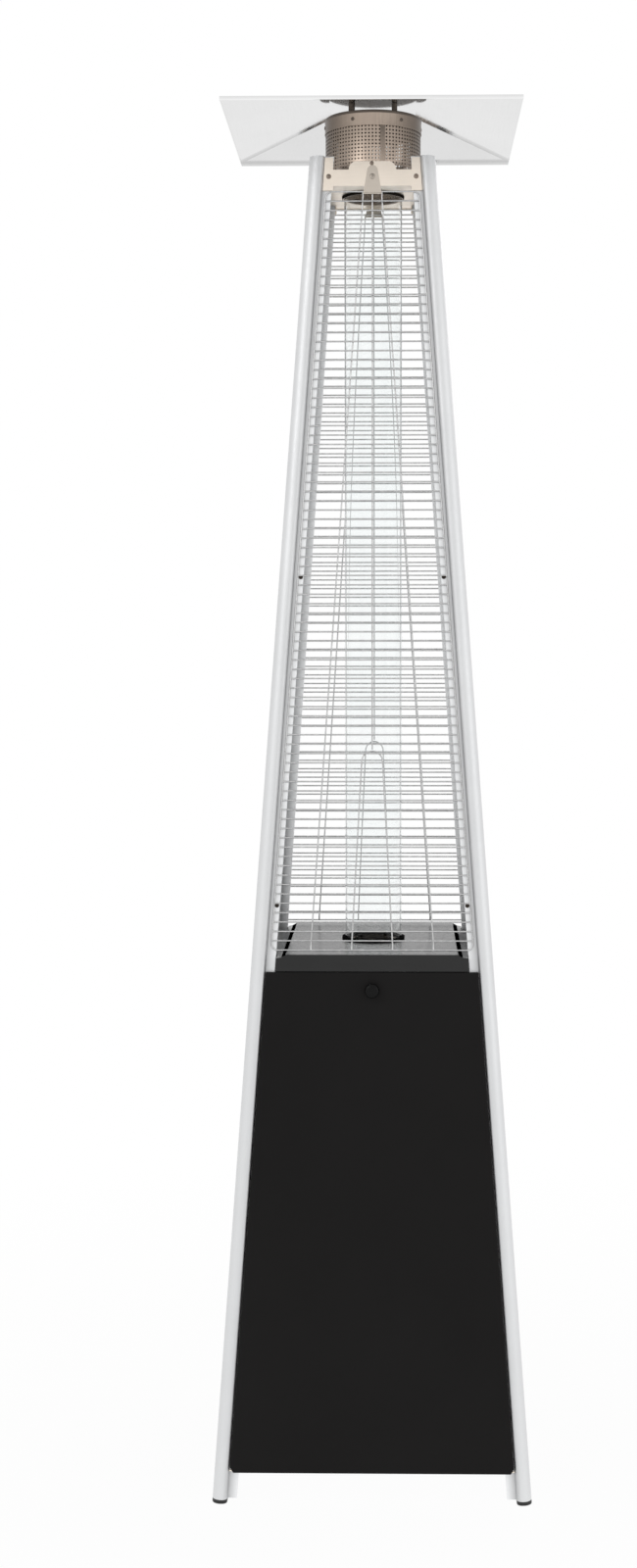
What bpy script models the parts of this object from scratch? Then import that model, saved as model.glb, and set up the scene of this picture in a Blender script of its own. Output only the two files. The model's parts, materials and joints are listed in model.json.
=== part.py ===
"""A pyramid patio heater: a glass flame tube behind wire guards, over a gas cabinet with a drop-down door."""

import math

import bmesh
import bpy
from mathutils import Matrix, Vector

# Sizes are in metres, and heights are above the floor.

# Spacing between pieces, and how far a cutter passes what it cuts
GAP = 0.0003
SIDE_GAP = 0.0006
WELD = 0.00001
OVERRUN = 0.004

# Legs: a hollow rounded body with a thin flange on each face, leaning in to the top
BASE_WIDTH = 0.510
TOP_WIDTH = 0.201
LEG_TOP = 2.142
LEG_FACE = 0.0242
LEG_ROUND = 0.015
LEG_EDGE_ROUND = 0.008
LEG_WALL = 0.002
FLANGE_WIDTH = 0.015
FLANGE_SHEET = 0.0015
FLANGE_STEP = 0.010
FOOT_HEIGHT = 0.006
SPIGOT_LENGTH = 0.025

# Cabinet panels, the front one a door on two pins at its foot
PANEL_LOW = 0.049
PANEL_TOP = 0.8445
PANEL_INSET = 0.001
PANEL_SHEET = 0.0012
PANEL_FOLD = 0.0085
DOOR_FOLD = 0.007
CORNER_CUT_WIDTH = 0.0056
CORNER_CUT_HEIGHT = 0.0089
PIN_INSET = 0.0035
PIN_RADIUS = 0.0015
PIN_LENGTH = 0.012
VENT_COUNT = 6
VENT_WIDTH = 0.160
VENT_HEIGHT = 0.006
VENT_PITCH = 0.020
VENT_LOW = 0.120

# Door knob and the magnetic catch behind it
KNOB_HEIGHT = 0.8163
KNOB_RADIUS = 0.0117
KNOB_NECK_RADIUS = 0.006
KNOB_NECK = 0.008
KNOB_HEAD = 0.012
CATCH_WIDTH = 0.040
CATCH_DEPTH = 0.010
CATCH_DROP = 0.012
CATCH_HEIGHT = 0.016

# Shelf for the gas cylinder
SHELF_LOW = 0.051
SHELF_SHEET = 0.002
SHELF_RIM = 0.020

# Deck over the cabinet, with the seat of the glass tube
DECK_TOP = 0.8722
DECK_SHEET = 0.0012
DECK_SEAM = 0.0012
DECK_STEP = 0.006
DECK_PLATFORM = 0.132
BURNER_HOLE_RADIUS = 0.0405
TUBE_RADIUS = 0.0475
TUBE_WALL = 0.0025
SEAT_RADIUS = 0.0525
SEAT_HEIGHT = 0.004
SEAT_FLOOR = 0.0012
SEAT_BORE = 0.0435

# Burner under the tube
CUP_RADIUS = 0.038
CUP_WALL = 0.001
CUP_FLANGE_RADIUS = 0.052
CUP_FLOOR = 0.815
HOOD_WALL = 0.0008
HOOD_SHOULDER = 0.8662
HOOD_TOP = 0.8755
HOOD_CROWN_RADIUS = 0.026
INJECTOR_RADIUS = 0.006
INJECTOR_BELOW = 0.018
INJECTOR_ABOVE = 0.010
PROBE_COLLAR = 0.0015
PROBE_COLLAR_HEIGHT = 0.002
PROBE_BELOW = 0.008
PILOT_RADIUS = 0.003
PILOT_TIP = 0.864
ELECTRODE_RADIUS = 0.0025
ELECTRODE_TIP = 0.868
THERMOCOUPLE_RADIUS = 0.002
THERMOCOUPLE_TIP = 0.866
PROBE_SPREAD = 0.018
PROBE_FORWARD = 0.016
GAS_PIPE_RADIUS = 0.004
GAS_PIPE_BEND = 0.035

# Control box behind the door: valve, knob, igniter and tip-over switch
BOX_BEHIND = 0.046
BOX_WIDTH = 0.150
BOX_HEIGHT = 0.100
BOX_DEPTH = 0.045
BOX_SHEET = 0.0012
CONTROL_DROP = 0.0649
STEM_RADIUS = 0.004
STEM_HOLE_CLEARANCE = 0.0012
STEM_PUSH = 0.003
STEM_IN_VALVE = 0.010
STEM_IN_KNOB = 0.009
DIAL_RADIUS = 0.019
DIAL_LENGTH = 0.020
DIAL_STANDOFF = 0.0055
DIAL_POINTER_WIDTH = 0.004
DIAL_POINTER_HEIGHT = 0.003
VALVE_WIDTH = 0.036
VALVE_HEIGHT = 0.040
VALVE_DEPTH = 0.030
OUTLET_SIDE = 0.009
OUTLET_DROP = 0.010
INLET_RADIUS = 0.0075
INLET_LENGTH = 0.024
INLET_COLLAR = 0.003
IGNITER_SIDE = 0.047
IGNITER_RADIUS = 0.0105
IGNITER_BEZEL = 0.014
IGNITER_BEZEL_THICKNESS = 0.002
IGNITER_LENGTH = 0.034
BUTTON_RADIUS = 0.0075
BUTTON_PROUD = 0.008
BUTTON_TRAVEL = 0.005
BUTTON_IN_BODY = 0.006
SWITCH_SIDE = 0.050
SWITCH_WIDTH = 0.030
SWITCH_DEPTH = 0.024
SWITCH_HEIGHT = 0.018

# Bracket at the top of the legs, and the clips that hold the guards to it
BRACKET_LEVEL = 2.098
BRACKET_SHEET = 0.0022
BAR_LOW = 2.0952
BAR_TOP = 2.1216
EAR_TOP = 2.141
EAR_WIDTH = 0.0165
HUMP_HALF = 0.038
HUMP_HEIGHT = 0.0135
TUBE_TOP = 2.116
RING_FLANGE_RADIUS = 0.058
RING_FLANGE_HEIGHT = 0.003
RING_SLEEVE = 0.003
RING_DROP = 0.004
CLIP_SHEET = 0.0015
CLIP_TOP = 2.128
CLIP_LOW = 2.0823
CLIP_TOP_HALF = 0.0085
CLIP_LOW_HALF = 0.0150

# Wire guards: a frame of rungs, with a few upright wires behind them
GUARD_LOW = 0.879
GUARD_TOP = 2.0865
GUARD_SIDE_GAP = 0.0045
RAIL_WIDTH = 0.004
WIRE = 0.0024
RUNG_PITCH = 0.0149
HAIRPIN_TOP = 1.1956
HAIRPIN_BEND = 0.0167
PAIR_LOW_SHARE = 0.60
PAIR_TOP_SHARE = 0.20

# Flame screen, its lid, and the reflector on four posts
SCREEN_INSET = 0.0259
SCREEN_SHEET = 0.0008
SCREEN_FOOT = 0.008
SCREEN_HEIGHT = 0.1195
LID_SHEET = 0.001
LID_SKIRT = 0.0245
POST_SPREAD = 0.035
POST_RADIUS = 0.0045
STUD_RADIUS = 0.003
POST_HEIGHT = 0.0191
STUD_ABOVE = 0.0038
REFLECTOR_WIDTH = 0.4655
REFLECTOR_FLAT_WIDTH = 0.140
REFLECTOR_DROP = 0.0366
REFLECTOR_SHEET = 0.0008
REFLECTOR_RIM = 0.006
NUT_SIDES = 6
NUT_RADIUS = 0.0058
NUT_HEIGHT = 0.0042
NUT_FLANGE_RADIUS = 0.007
NUT_FLANGE = 0.0012

# Wheels behind the rear panel, for tipping the heater back and rolling it
WHEEL_RADIUS = 0.045
WHEEL_WIDTH = 0.024
WHEEL_HUB_RADIUS = 0.012
WHEEL_HUB_PROUD = 0.002
WHEEL_ROUND = 0.005
WHEEL_ABOVE_FLOOR = 0.003
WHEEL_BEHIND = 0.006
AXLE_RADIUS = 0.004
AXLE_HEAD_RADIUS = 0.0065
AXLE_HEAD = 0.002
CARRIER_INSET = 0.095
CARRIER_SHEET = 0.002
CARRIER_LOW = 0.054
CARRIER_HEIGHT = 0.036
EAR_ROUND = 0.009
WHEEL_SIDE_GAP = 0.002

# Smoothness of round shapes
FINE_STEPS = 28
COARSE_STEPS = 16
ARC_STEPS = 6

QUARTER = math.pi / 2
TAPER = (BASE_WIDTH - TOP_WIDTH) / 2 / LEG_TOP
LEAN = math.atan(TAPER)
FRONT, RIGHT, REAR, LEFT = range(4)

# Colour, roughness and metallic value of each material
FINISHES = {
    "anodised_aluminium": ((0.74, 0.75, 0.77), 0.38, 1.0),
    "black_paint": ((0.012, 0.011, 0.011), 0.45, 0.0),
    "black_gloss": ((0.035, 0.035, 0.037), 0.22, 0.0),
    "black_plastic": ((0.015, 0.015, 0.016), 0.35, 0.0),
    "dark_rubber": ((0.02, 0.02, 0.02), 0.8, 0.0),
    "galvanised_steel": ((0.55, 0.56, 0.57), 0.5, 1.0),
    "bright_steel": ((0.72, 0.70, 0.67), 0.35, 1.0),
    "heat_tinted_steel": ((0.34, 0.28, 0.23), 0.38, 1.0),
    "chromed_wire": ((0.80, 0.81, 0.82), 0.25, 1.0),
    "mirror_aluminium": ((0.86, 0.87, 0.88), 0.18, 1.0),
    "clear_glass": ((0.95, 0.97, 0.97), 0.03, 0.0),
    "brass": ((0.72, 0.52, 0.22), 0.3, 1.0),
    "white_ceramic": ((0.85, 0.84, 0.80), 0.5, 0.0),
    "grey_gasket": ((0.30, 0.30, 0.29), 0.9, 0.0),
    "red_plastic": ((0.55, 0.03, 0.02), 0.4, 0.0),
}


def half(height):
    """Half the distance across the legs' outer faces at this height."""
    return BASE_WIDTH / 2 - TAPER * height


def slope(height, out=0.0):
    """Distance up a leaning face to a point at this height, out from the face."""
    return (height - out * math.sin(LEAN)) / math.cos(LEAN)


def face_matrix(side):
    """The frame of one leaning face: across, up the slope, and outwards."""
    turn = Matrix.Rotation(side * QUARTER, 4, "Z")
    return turn @ Matrix.Translation((0, -half(0), 0)) @ Matrix.Rotation(QUARTER - LEAN, 4, "X")


def body_edge(height):
    """How far across a face the leg's rounded body leaves free, to either side."""
    return half(height) - LEG_FACE


def flange_edge(height):
    return body_edge(height) - FLANGE_WIDTH


SEAT_OUT = GAP - FLANGE_STEP * math.cos(LEAN)
DECK_UNDERSIDE = DECK_TOP - DECK_SHEET
CONTROL_HEIGHT = DECK_UNDERSIDE - CONTROL_DROP
BOX_FRONT = half(CONTROL_HEIGHT) - BOX_BEHIND
SCREEN_RADIUS = half(BRACKET_LEVEL) - SCREEN_INSET
CARRIER_HALF = BASE_WIDTH / 2 - CARRIER_INSET
AXLE_HEIGHT = WHEEL_RADIUS + WHEEL_ABOVE_FLOOR
AXLE_BACK = half(AXLE_HEIGHT) + WHEEL_BEHIND + WHEEL_RADIUS
FORWARD_SHIFT = (AXLE_BACK + WHEEL_RADIUS - half(0)) / 2


# Scene, collections and materials

for old in list(bpy.data.objects):
    bpy.data.objects.remove(old)

parts = bpy.data.collections.new("patio_heater")
helpers = bpy.data.collections.new("cutters")
for collection in (parts, helpers):
    bpy.context.scene.collection.children.link(collection)

home = bpy.data.objects.new("patio_heater_home", None)
home.location = (0, -FORWARD_SHIFT, 0)
parts.objects.link(home)


def finish(name):
    """The named material, made the first time it is asked for."""
    found = bpy.data.materials.get(name)
    if found:
        return found
    colour, roughness, metallic = FINISHES[name]
    made = bpy.data.materials.new(name)
    made.use_nodes = True
    shader = made.node_tree.nodes["Principled BSDF"]
    shader.inputs["Base Color"].default_value = (*colour, 1)
    shader.inputs["Roughness"].default_value = roughness
    shader.inputs["Metallic"].default_value = metallic
    if name == "clear_glass":
        shader.inputs["Transmission Weight"].default_value = 1
        shader.inputs["IOR"].default_value = 1.46
    return made


def add(name, mesh, material, matrix=Matrix(), smooth=False):
    """A named piece in the heater's own frame."""
    mesh.materials.clear()
    mesh.materials.append(finish(material))
    if smooth:
        mesh.shade_smooth()
        mesh.set_sharp_from_angle(angle=math.radians(35))
    piece = bpy.data.objects.new(name, mesh)
    parts.objects.link(piece)
    piece.parent = home
    piece.matrix_basis = matrix
    return piece


def combine(piece, operation, mesh, matrix=Matrix()):
    """Cut the mesh from a piece, or join it on, with a hidden helper."""
    helper = bpy.data.objects.new(f"{piece.name}_{operation.lower()}", mesh)
    helpers.objects.link(helper)
    helper.parent = home
    helper.matrix_basis = matrix
    helper.hide_render = True
    helper.display_type = "WIRE"
    modifier = piece.modifiers.new(operation.title(), "BOOLEAN")
    modifier.operation = operation
    modifier.solver = "EXACT"
    modifier.object = helper


def cut(piece, mesh, matrix=Matrix()):
    combine(piece, "DIFFERENCE", mesh, matrix)


def join(piece, mesh, matrix=Matrix()):
    combine(piece, "UNION", mesh, matrix)


# Shapes


def evaluated_mesh(item):
    """The mesh of a curve, or of a piece with its modifiers, welded where its caps meet."""
    bpy.context.view_layer.update()
    graph = bpy.context.evaluated_depsgraph_get()
    mesh = bpy.data.meshes.new_from_object(item.evaluated_get(graph), depsgraph=graph)
    edit = bmesh.new()
    edit.from_mesh(mesh)
    bmesh.ops.remove_doubles(edit, verts=edit.verts, dist=WELD)
    bmesh.ops.recalc_face_normals(edit, faces=edit.faces)
    edit.to_mesh(mesh)
    edit.free()
    return mesh


def curve_mesh(curve):
    guide = bpy.data.objects.new("guide", curve)
    helpers.objects.link(guide)
    mesh = evaluated_mesh(guide)
    bpy.data.objects.remove(guide)
    return mesh


def outline(loops, thickness):
    """A flat plate with the first loop's outline and holes at the others, centred on its own plane."""
    curve = bpy.data.curves.new("outline", "CURVE")
    curve.dimensions = "2D"
    curve.fill_mode = "BOTH"
    curve.extrude = thickness / 2
    for loop in loops:
        spline = curve.splines.new("POLY")
        spline.points.add(len(loop) - 1)
        for point, (x, y) in zip(spline.points, loop):
            point.co = (x, y, 0, 1)
        spline.use_cyclic_u = True
    return curve_mesh(curve)


def wire(points, radius, sides=0):
    """A wire of four or more sides along the points."""
    curve = bpy.data.curves.new("wire", "CURVE")
    curve.dimensions = "3D"
    curve.bevel_depth = radius
    curve.bevel_resolution = sides
    curve.use_fill_caps = True
    spline = curve.splines.new("POLY")
    spline.points.add(len(points) - 1)
    for point, place in zip(spline.points, points):
        point.co = (*place, 1)
    return curve_mesh(curve)


def block(low, high):
    """A box between two corners."""
    edit = bmesh.new()
    bmesh.ops.create_cube(edit, size=1)
    size = Vector(high) - Vector(low)
    bmesh.ops.scale(edit, vec=size, verts=edit.verts)
    bmesh.ops.translate(edit, vec=Vector(low) + size / 2, verts=edit.verts)
    mesh = bpy.data.meshes.new("block")
    edit.to_mesh(mesh)
    edit.free()
    return mesh


def drum(radius, low, high, steps=COARSE_STEPS):
    """A solid cylinder along Z."""
    edit = bmesh.new()
    bmesh.ops.create_cone(
        edit, cap_ends=True, segments=steps, radius1=radius, radius2=radius, depth=high - low
    )
    bmesh.ops.translate(edit, vec=(0, 0, (low + high) / 2), verts=edit.verts)
    mesh = bpy.data.meshes.new("drum")
    edit.to_mesh(mesh)
    edit.free()
    return mesh


def arc(centre, radius, start, end, steps=ARC_STEPS):
    """Points along an arc, its angles in quarter turns."""
    angles = [(start + (end - start) * i / steps) * QUARTER for i in range(steps + 1)]
    return [(centre[0] + radius * math.cos(a), centre[1] + radius * math.sin(a)) for a in angles]


def turned(name, profile, material, matrix=Matrix(), steps=FINE_STEPS, ring=True):
    """A turned piece from radii and heights that run down its outer side. A ring's profile closes on itself."""
    mesh = bpy.data.meshes.new(name)
    count = len(profile)
    edges = [(i, i + 1) for i in range(count - 1)]
    if ring:
        edges.append((count - 1, 0))
    mesh.from_pydata([(radius, 0, height) for radius, height in profile], edges, [])
    piece = add(name, mesh, material, matrix)
    screw = piece.modifiers.new("Screw", "SCREW")
    screw.axis = "Z"
    screw.steps = steps
    screw.render_steps = steps
    screw.use_smooth_shade = False
    screw.use_merge_vertices = True
    screw.merge_threshold = WELD
    return piece


def give_walls(piece, sheet):
    """Thicken an open surface to a sheet, on the inner side of its faces."""
    wall = piece.modifiers.new("Wall", "SOLIDIFY")
    wall.thickness = sheet
    wall.offset = -1
    wall.use_even_offset = True


def folded(name, front, back, sheet, material, matrix=Matrix()):
    """A sheet with the front corners' outline and its edges turned back to the back corners."""
    edit = bmesh.new()
    near = [edit.verts.new(point) for point in front]
    far = [edit.verts.new(point) for point in back]
    edit.faces.new(near)
    for i in range(len(near)):
        j = (i + 1) % len(near)
        edit.faces.new((near[i], far[i], far[j], near[j]))
    mesh = bpy.data.meshes.new(name)
    edit.to_mesh(mesh)
    edit.free()
    piece = add(name, mesh, material, matrix)
    give_walls(piece, sheet)
    return piece


def plus_outline(reach, arm, height):
    """A square with notched corners, seen from above and counterclockwise."""
    corners = [(-arm, -reach), (arm, -reach), (arm, -arm)]
    points = []
    for quarter in range(4):
        turn = Matrix.Rotation(quarter * QUARTER, 4, "Z")
        points += [tuple(turn @ Vector((x, y, height))) for x, y in corners]
    return points


# Legs and feet


def leg_front(inset):
    """The rounded front of a leg's body, drawn in by the inset, from one inner edge to the other."""
    edge_middle = LEG_FACE - LEG_EDGE_ROUND
    edge_radius = LEG_EDGE_ROUND - inset
    return [
        *arc((edge_middle, LEG_EDGE_ROUND), edge_radius, 0, -1, ARC_STEPS // 2),
        *arc((LEG_ROUND, LEG_ROUND), LEG_ROUND - inset, -1, -2),
        *arc((LEG_EDGE_ROUND, edge_middle), edge_radius, 2, 1, ARC_STEPS // 2),
    ]


def leg_body_outline(inset):
    """The whole outline of a leg's body, from the pyramid's corner."""
    return [*leg_front(inset), (LEG_FACE - inset, LEG_FACE - inset)]


def leg_outline():
    step, back, end = FLANGE_STEP, FLANGE_STEP + FLANGE_SHEET, LEG_FACE + FLANGE_WIDTH
    return [
        (end, back),
        (end, step),
        (LEG_FACE, step),
        *leg_front(0),
        (step, LEG_FACE),
        (step, end),
        (back, end),
        (back, LEG_FACE),
        (LEG_FACE, LEG_FACE),
        (LEG_FACE, back),
    ]


def leaning(mesh, low, height):
    """Stand an extruded outline on a height, in the corner of the pyramid and leaning with it."""
    mesh.transform(Matrix.Translation((0, 0, low + height / 2)))
    shear = Matrix(((1, 0, TAPER, -half(0)), (0, 1, TAPER, -half(0)), (0, 0, 1, 0), (0, 0, 0, 1)))
    mesh.transform(shear)
    return mesh


def make_legs():
    low = FOOT_HEIGHT + GAP
    length = LEG_TOP - low
    leg = leaning(outline([leg_outline(), leg_body_outline(LEG_WALL)], length), low, length)
    pad = leaning(outline([leg_body_outline(0)], FOOT_HEIGHT), 0, FOOT_HEIGHT)
    inside = leg_body_outline(LEG_WALL + GAP)
    spigot_low = FOOT_HEIGHT / 2
    spigot = leaning(outline([inside], SPIGOT_LENGTH), spigot_low, SPIGOT_LENGTH)
    corners = ("front_left", "front_right", "rear_right", "rear_left")
    for quarter, corner in enumerate(corners):
        turn = Matrix.Rotation(quarter * QUARTER, 4, "Z")
        add(f"leg_{corner}", leg.copy(), "anodised_aluminium", turn, smooth=True)
        foot = add(f"foot_cap_{corner}", pad.copy(), "black_plastic", turn)
        join(foot, spigot, turn)


# Cabinet


def panel_corners(low, top):
    """Corners of a cabinet panel between the legs, its lower ones cut off."""

    def edge(height):
        return body_edge(height) - SIDE_GAP

    cut_top = low + CORNER_CUT_HEIGHT
    right = [
        (edge(low) - CORNER_CUT_WIDTH, slope(low)),
        (edge(cut_top), slope(cut_top)),
        (edge(top), slope(top)),
    ]
    return right + [(-x, y) for x, y in reversed(right)]


def make_panel(name, side, fold, material="black_paint"):
    corners = panel_corners(PANEL_LOW, PANEL_TOP)
    front = [(x, y, -PANEL_INSET) for x, y in corners]
    back = [(x, y, -PANEL_INSET - fold) for x, y in corners]
    return folded(name, front, back, PANEL_SHEET, material, face_matrix(side))


def hinge_place():
    """Height up the front face and depth behind it of the door's pins."""
    return slope(PANEL_LOW) + PIN_INSET, -PANEL_INSET - PIN_INSET


def make_door():
    """The front panel, with its origin on the axis of its two pins."""
    up, out = hinge_place()
    to_hinge = Matrix.Translation((0, up, out))
    door = make_panel("front_panel", FRONT, DOOR_FOLD)
    door.data.transform(to_hinge.inverted())
    door.matrix_basis = face_matrix(FRONT) @ to_hinge
    along = Matrix.Rotation(QUARTER, 4, "Y")
    reach = body_edge(PANEL_LOW) + OVERRUN
    bore = drum(PIN_RADIUS + GAP, -reach, reach)
    cut(door, bore, door.matrix_basis @ along)
    outer = body_edge(PANEL_LOW + PIN_INSET) - GAP
    for name, sign in (("hinge_pin_left", -1), ("hinge_pin_right", 1)):
        ends = sorted((sign * outer, sign * (outer - PIN_LENGTH)))
        add(name, drum(PIN_RADIUS, *ends), "bright_steel", door.matrix_basis @ along, smooth=True)

    neck_top = KNOB_NECK
    head_top = neck_top + KNOB_HEAD
    edge = KNOB_HEAD / 4
    profile = [
        (0, head_top),
        (KNOB_RADIUS - edge, head_top),
        (KNOB_RADIUS, head_top - edge),
        (KNOB_RADIUS, neck_top + edge),
        (KNOB_NECK_RADIUS, neck_top),
        (KNOB_NECK_RADIUS, 0),
        (0, 0),
    ]
    place = Matrix.Translation((0, slope(KNOB_HEIGHT), GAP - PANEL_INSET))
    turned("door_knob", profile, "black_plastic", face_matrix(FRONT) @ place, ring=False)


def make_fixed_panels():
    make_panel("left_panel", LEFT, PANEL_FOLD)
    make_panel("right_panel", RIGHT, PANEL_FOLD)
    rear = make_panel("rear_panel", REAR, PANEL_FOLD)
    for i in range(VENT_COUNT):
        middle = slope(VENT_LOW + i * VENT_PITCH)
        low = (-VENT_WIDTH / 2, middle - VENT_HEIGHT / 2, -PANEL_INSET - PANEL_SHEET - OVERRUN)
        high = (VENT_WIDTH / 2, middle + VENT_HEIGHT / 2, OVERRUN)
        cut(rear, block(low, high), face_matrix(REAR))


def make_catch():
    """A magnet block under the deck's front lip, just behind the door's top fold."""
    seam = slope(PANEL_TOP + DECK_SEAM)
    lip_back = -PANEL_INSET - DECK_SHEET - GAP
    fold_back = -PANEL_INSET - DOOR_FOLD - GAP
    rear = fold_back - CATCH_DEPTH
    side = CATCH_WIDTH / 2
    upper = block((-side, seam, rear), (side, seam + CATCH_HEIGHT, lip_back))
    lower = block((-side, seam - CATCH_DROP, rear), (side, seam + CATCH_HEIGHT / 2, fold_back))
    catch = add("door_catch", upper, "black_plastic", face_matrix(FRONT))
    join(catch, lower, face_matrix(FRONT))


def make_shelf():
    """A tray for the gas cylinder, inside the legs' flanges, with an upright rim."""
    top = SHELF_LOW + SHELF_RIM
    reach = half(top) - FLANGE_STEP - FLANGE_SHEET - GAP
    arm = body_edge(top) - SIDE_GAP
    floor, rim = (plus_outline(reach, arm, height)[::-1] for height in (SHELF_LOW, top))
    folded("cylinder_shelf", floor, rim, SHELF_SHEET, "galvanised_steel")


def deck_surface():
    """The deck's top, raised between two sloping bands, with its edges turned down to the panels."""
    lip_low = PANEL_TOP + DECK_SEAM
    edit = bmesh.new()

    def corner(column, row, lip=False):
        """A point of the net. Lines 1 bound the raised part, 2 the notches for the legs, 3 the deck."""
        raised = DECK_TOP if abs(column) == 1 else DECK_TOP - DECK_STEP
        height = lip_low if lip else raised
        lines = {1: DECK_PLATFORM, 2: flange_edge(height) - GAP, 3: half(height) - PANEL_INSET}
        x, y = (math.copysign(lines[abs(line)], line) for line in (column, row))
        return edit.verts.new((x, y, height))

    columns, rows = (-3, -2, -1, 1, 2, 3), (-3, -2, 2, 3)
    places = [(i, j) for i in columns for j in rows if abs(i) < 3 or abs(j) < 3]
    top = {place: corner(*place) for place in places}
    for left, right in zip(columns, columns[1:]):
        for near, far in zip(rows, rows[1:]):
            loop = [(left, near), (right, near), (right, far), (left, far)]
            if all(place in top for place in loop):
                edit.faces.new([top[place] for place in loop])
    place_of = {vert: place for place, vert in top.items()}
    low = {}
    for edge in [edge for edge in edit.edges if edge.is_boundary]:
        loop = edge.link_loops[0]
        start, end = loop.vert, loop.link_loop_next.vert
        for vert in (start, end):
            if vert not in low:
                low[vert] = corner(*place_of[vert], lip=True)
        edit.faces.new((start, low[start], low[end], end))
    mesh = bpy.data.meshes.new("deck")
    edit.to_mesh(mesh)
    edit.free()
    return mesh


def make_deck():
    deck = add("deck", deck_surface(), "black_gloss")
    give_walls(deck, DECK_SHEET)
    cut(deck, drum(BURNER_HOLE_RADIUS, DECK_UNDERSIDE - OVERRUN, DECK_TOP + OVERRUN, FINE_STEPS))


# Burner and glass tube


def make_tube():
    seat_low = DECK_TOP + GAP
    inner = TUBE_RADIUS + GAP
    ledge = seat_low + SEAT_FLOOR
    turned(
        "tube_seat",
        [
            (inner, seat_low + SEAT_HEIGHT),
            (SEAT_RADIUS, seat_low + SEAT_HEIGHT),
            (SEAT_RADIUS, seat_low),
            (SEAT_BORE, seat_low),
            (SEAT_BORE, ledge),
            (inner, ledge),
        ],
        "grey_gasket",
    )
    tube_low = ledge + GAP
    bore = TUBE_RADIUS - TUBE_WALL
    turned(
        "glass_tube",
        [(bore, TUBE_TOP), (TUBE_RADIUS, TUBE_TOP), (TUBE_RADIUS, tube_low), (bore, tube_low)],
        "clear_glass",
    )
    flange_low = BRACKET_LEVEL + GAP
    flange_top = flange_low + RING_FLANGE_HEIGHT
    sleeve = TUBE_RADIUS + GAP + RING_SLEEVE
    sleeve_low = BRACKET_LEVEL - BRACKET_SHEET - RING_DROP
    turned(
        "tube_top_ring",
        [
            (inner, flange_top),
            (RING_FLANGE_RADIUS, flange_top),
            (RING_FLANGE_RADIUS, flange_low),
            (sleeve, flange_low),
            (sleeve, sleeve_low),
            (inner, sleeve_low),
        ],
        "grey_gasket",
    )


def make_probe(name, radius, tip, x, y, material):
    """A rod through the cup's floor, carried by a collar."""
    collar_low = CUP_FLOOR + GAP
    collar_top = collar_low + PROBE_COLLAR_HEIGHT
    low = CUP_FLOOR - CUP_WALL - PROBE_BELOW
    profile = [
        (0, tip),
        (radius, tip),
        (radius, collar_top),
        (radius + PROBE_COLLAR, collar_top),
        (radius + PROBE_COLLAR, collar_low),
        (radius, collar_low),
        (radius, low),
        (0, low),
    ]
    return turned(name, profile, material, Matrix.Translation((x, y, 0)), COARSE_STEPS, ring=False)


def make_burner():
    flange_top = DECK_UNDERSIDE - GAP
    inside = CUP_RADIUS - CUP_WALL
    cup_low = CUP_FLOOR - CUP_WALL
    injector_bore = INJECTOR_RADIUS + GAP
    cup = turned(
        "burner_cup",
        [
            (inside, flange_top),
            (CUP_FLANGE_RADIUS, flange_top),
            (CUP_FLANGE_RADIUS, flange_top - CUP_WALL),
            (CUP_RADIUS, flange_top - CUP_WALL),
            (CUP_RADIUS, cup_low),
            (injector_bore, cup_low),
            (injector_bore, CUP_FLOOR),
            (inside, CUP_FLOOR),
        ],
        "bright_steel",
    )
    hood_low = CUP_FLOOR + GAP
    outer = inside - GAP
    turned(
        "burner_hood",
        [
            (0, HOOD_TOP),
            (HOOD_CROWN_RADIUS, HOOD_TOP),
            (outer, HOOD_SHOULDER),
            (outer, hood_low),
            (outer - HOOD_WALL, hood_low),
            (outer - HOOD_WALL, HOOD_SHOULDER - HOOD_WALL),
            (HOOD_CROWN_RADIUS - HOOD_WALL / 2, HOOD_TOP - HOOD_WALL),
            (0, HOOD_TOP - HOOD_WALL),
        ],
        "heat_tinted_steel",
        ring=False,
    )
    collar_low = CUP_FLOOR + GAP
    injector_low = cup_low - INJECTOR_BELOW
    turned(
        "gas_injector",
        [
            (0, CUP_FLOOR + INJECTOR_ABOVE),
            (INJECTOR_RADIUS - PROBE_COLLAR, CUP_FLOOR + INJECTOR_ABOVE),
            (INJECTOR_RADIUS + PROBE_COLLAR, collar_low + PROBE_COLLAR_HEIGHT),
            (INJECTOR_RADIUS + PROBE_COLLAR, collar_low),
            (INJECTOR_RADIUS, collar_low),
            (INJECTOR_RADIUS, injector_low),
            (0, injector_low),
        ],
        "brass",
        steps=COARSE_STEPS,
        ring=False,
    )
    probes = (
        ("pilot_burner", PILOT_RADIUS, PILOT_TIP, -PROBE_SPREAD, "bright_steel"),
        ("igniter_electrode", ELECTRODE_RADIUS, ELECTRODE_TIP, 0, "white_ceramic"),
        ("thermocouple", THERMOCOUPLE_RADIUS, THERMOCOUPLE_TIP, PROBE_SPREAD, "bright_steel"),
    )
    floor_low, floor_top = cup_low - OVERRUN, CUP_FLOOR + OVERRUN
    for name, radius, tip, x, material in probes:
        y = -PROBE_FORWARD
        make_probe(name, radius, tip, x, y, material)
        cut(cup, drum(radius + GAP, floor_low, floor_top), Matrix.Translation((x, y, 0)))
    return injector_low


# Controls


def facing_front(x, y, z):
    """A frame whose Z points forwards out of the heater, at a place in the heater's frame."""
    return Matrix.Translation((x, y, z)) @ Matrix.Rotation(QUARTER, 4, "X")


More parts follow.
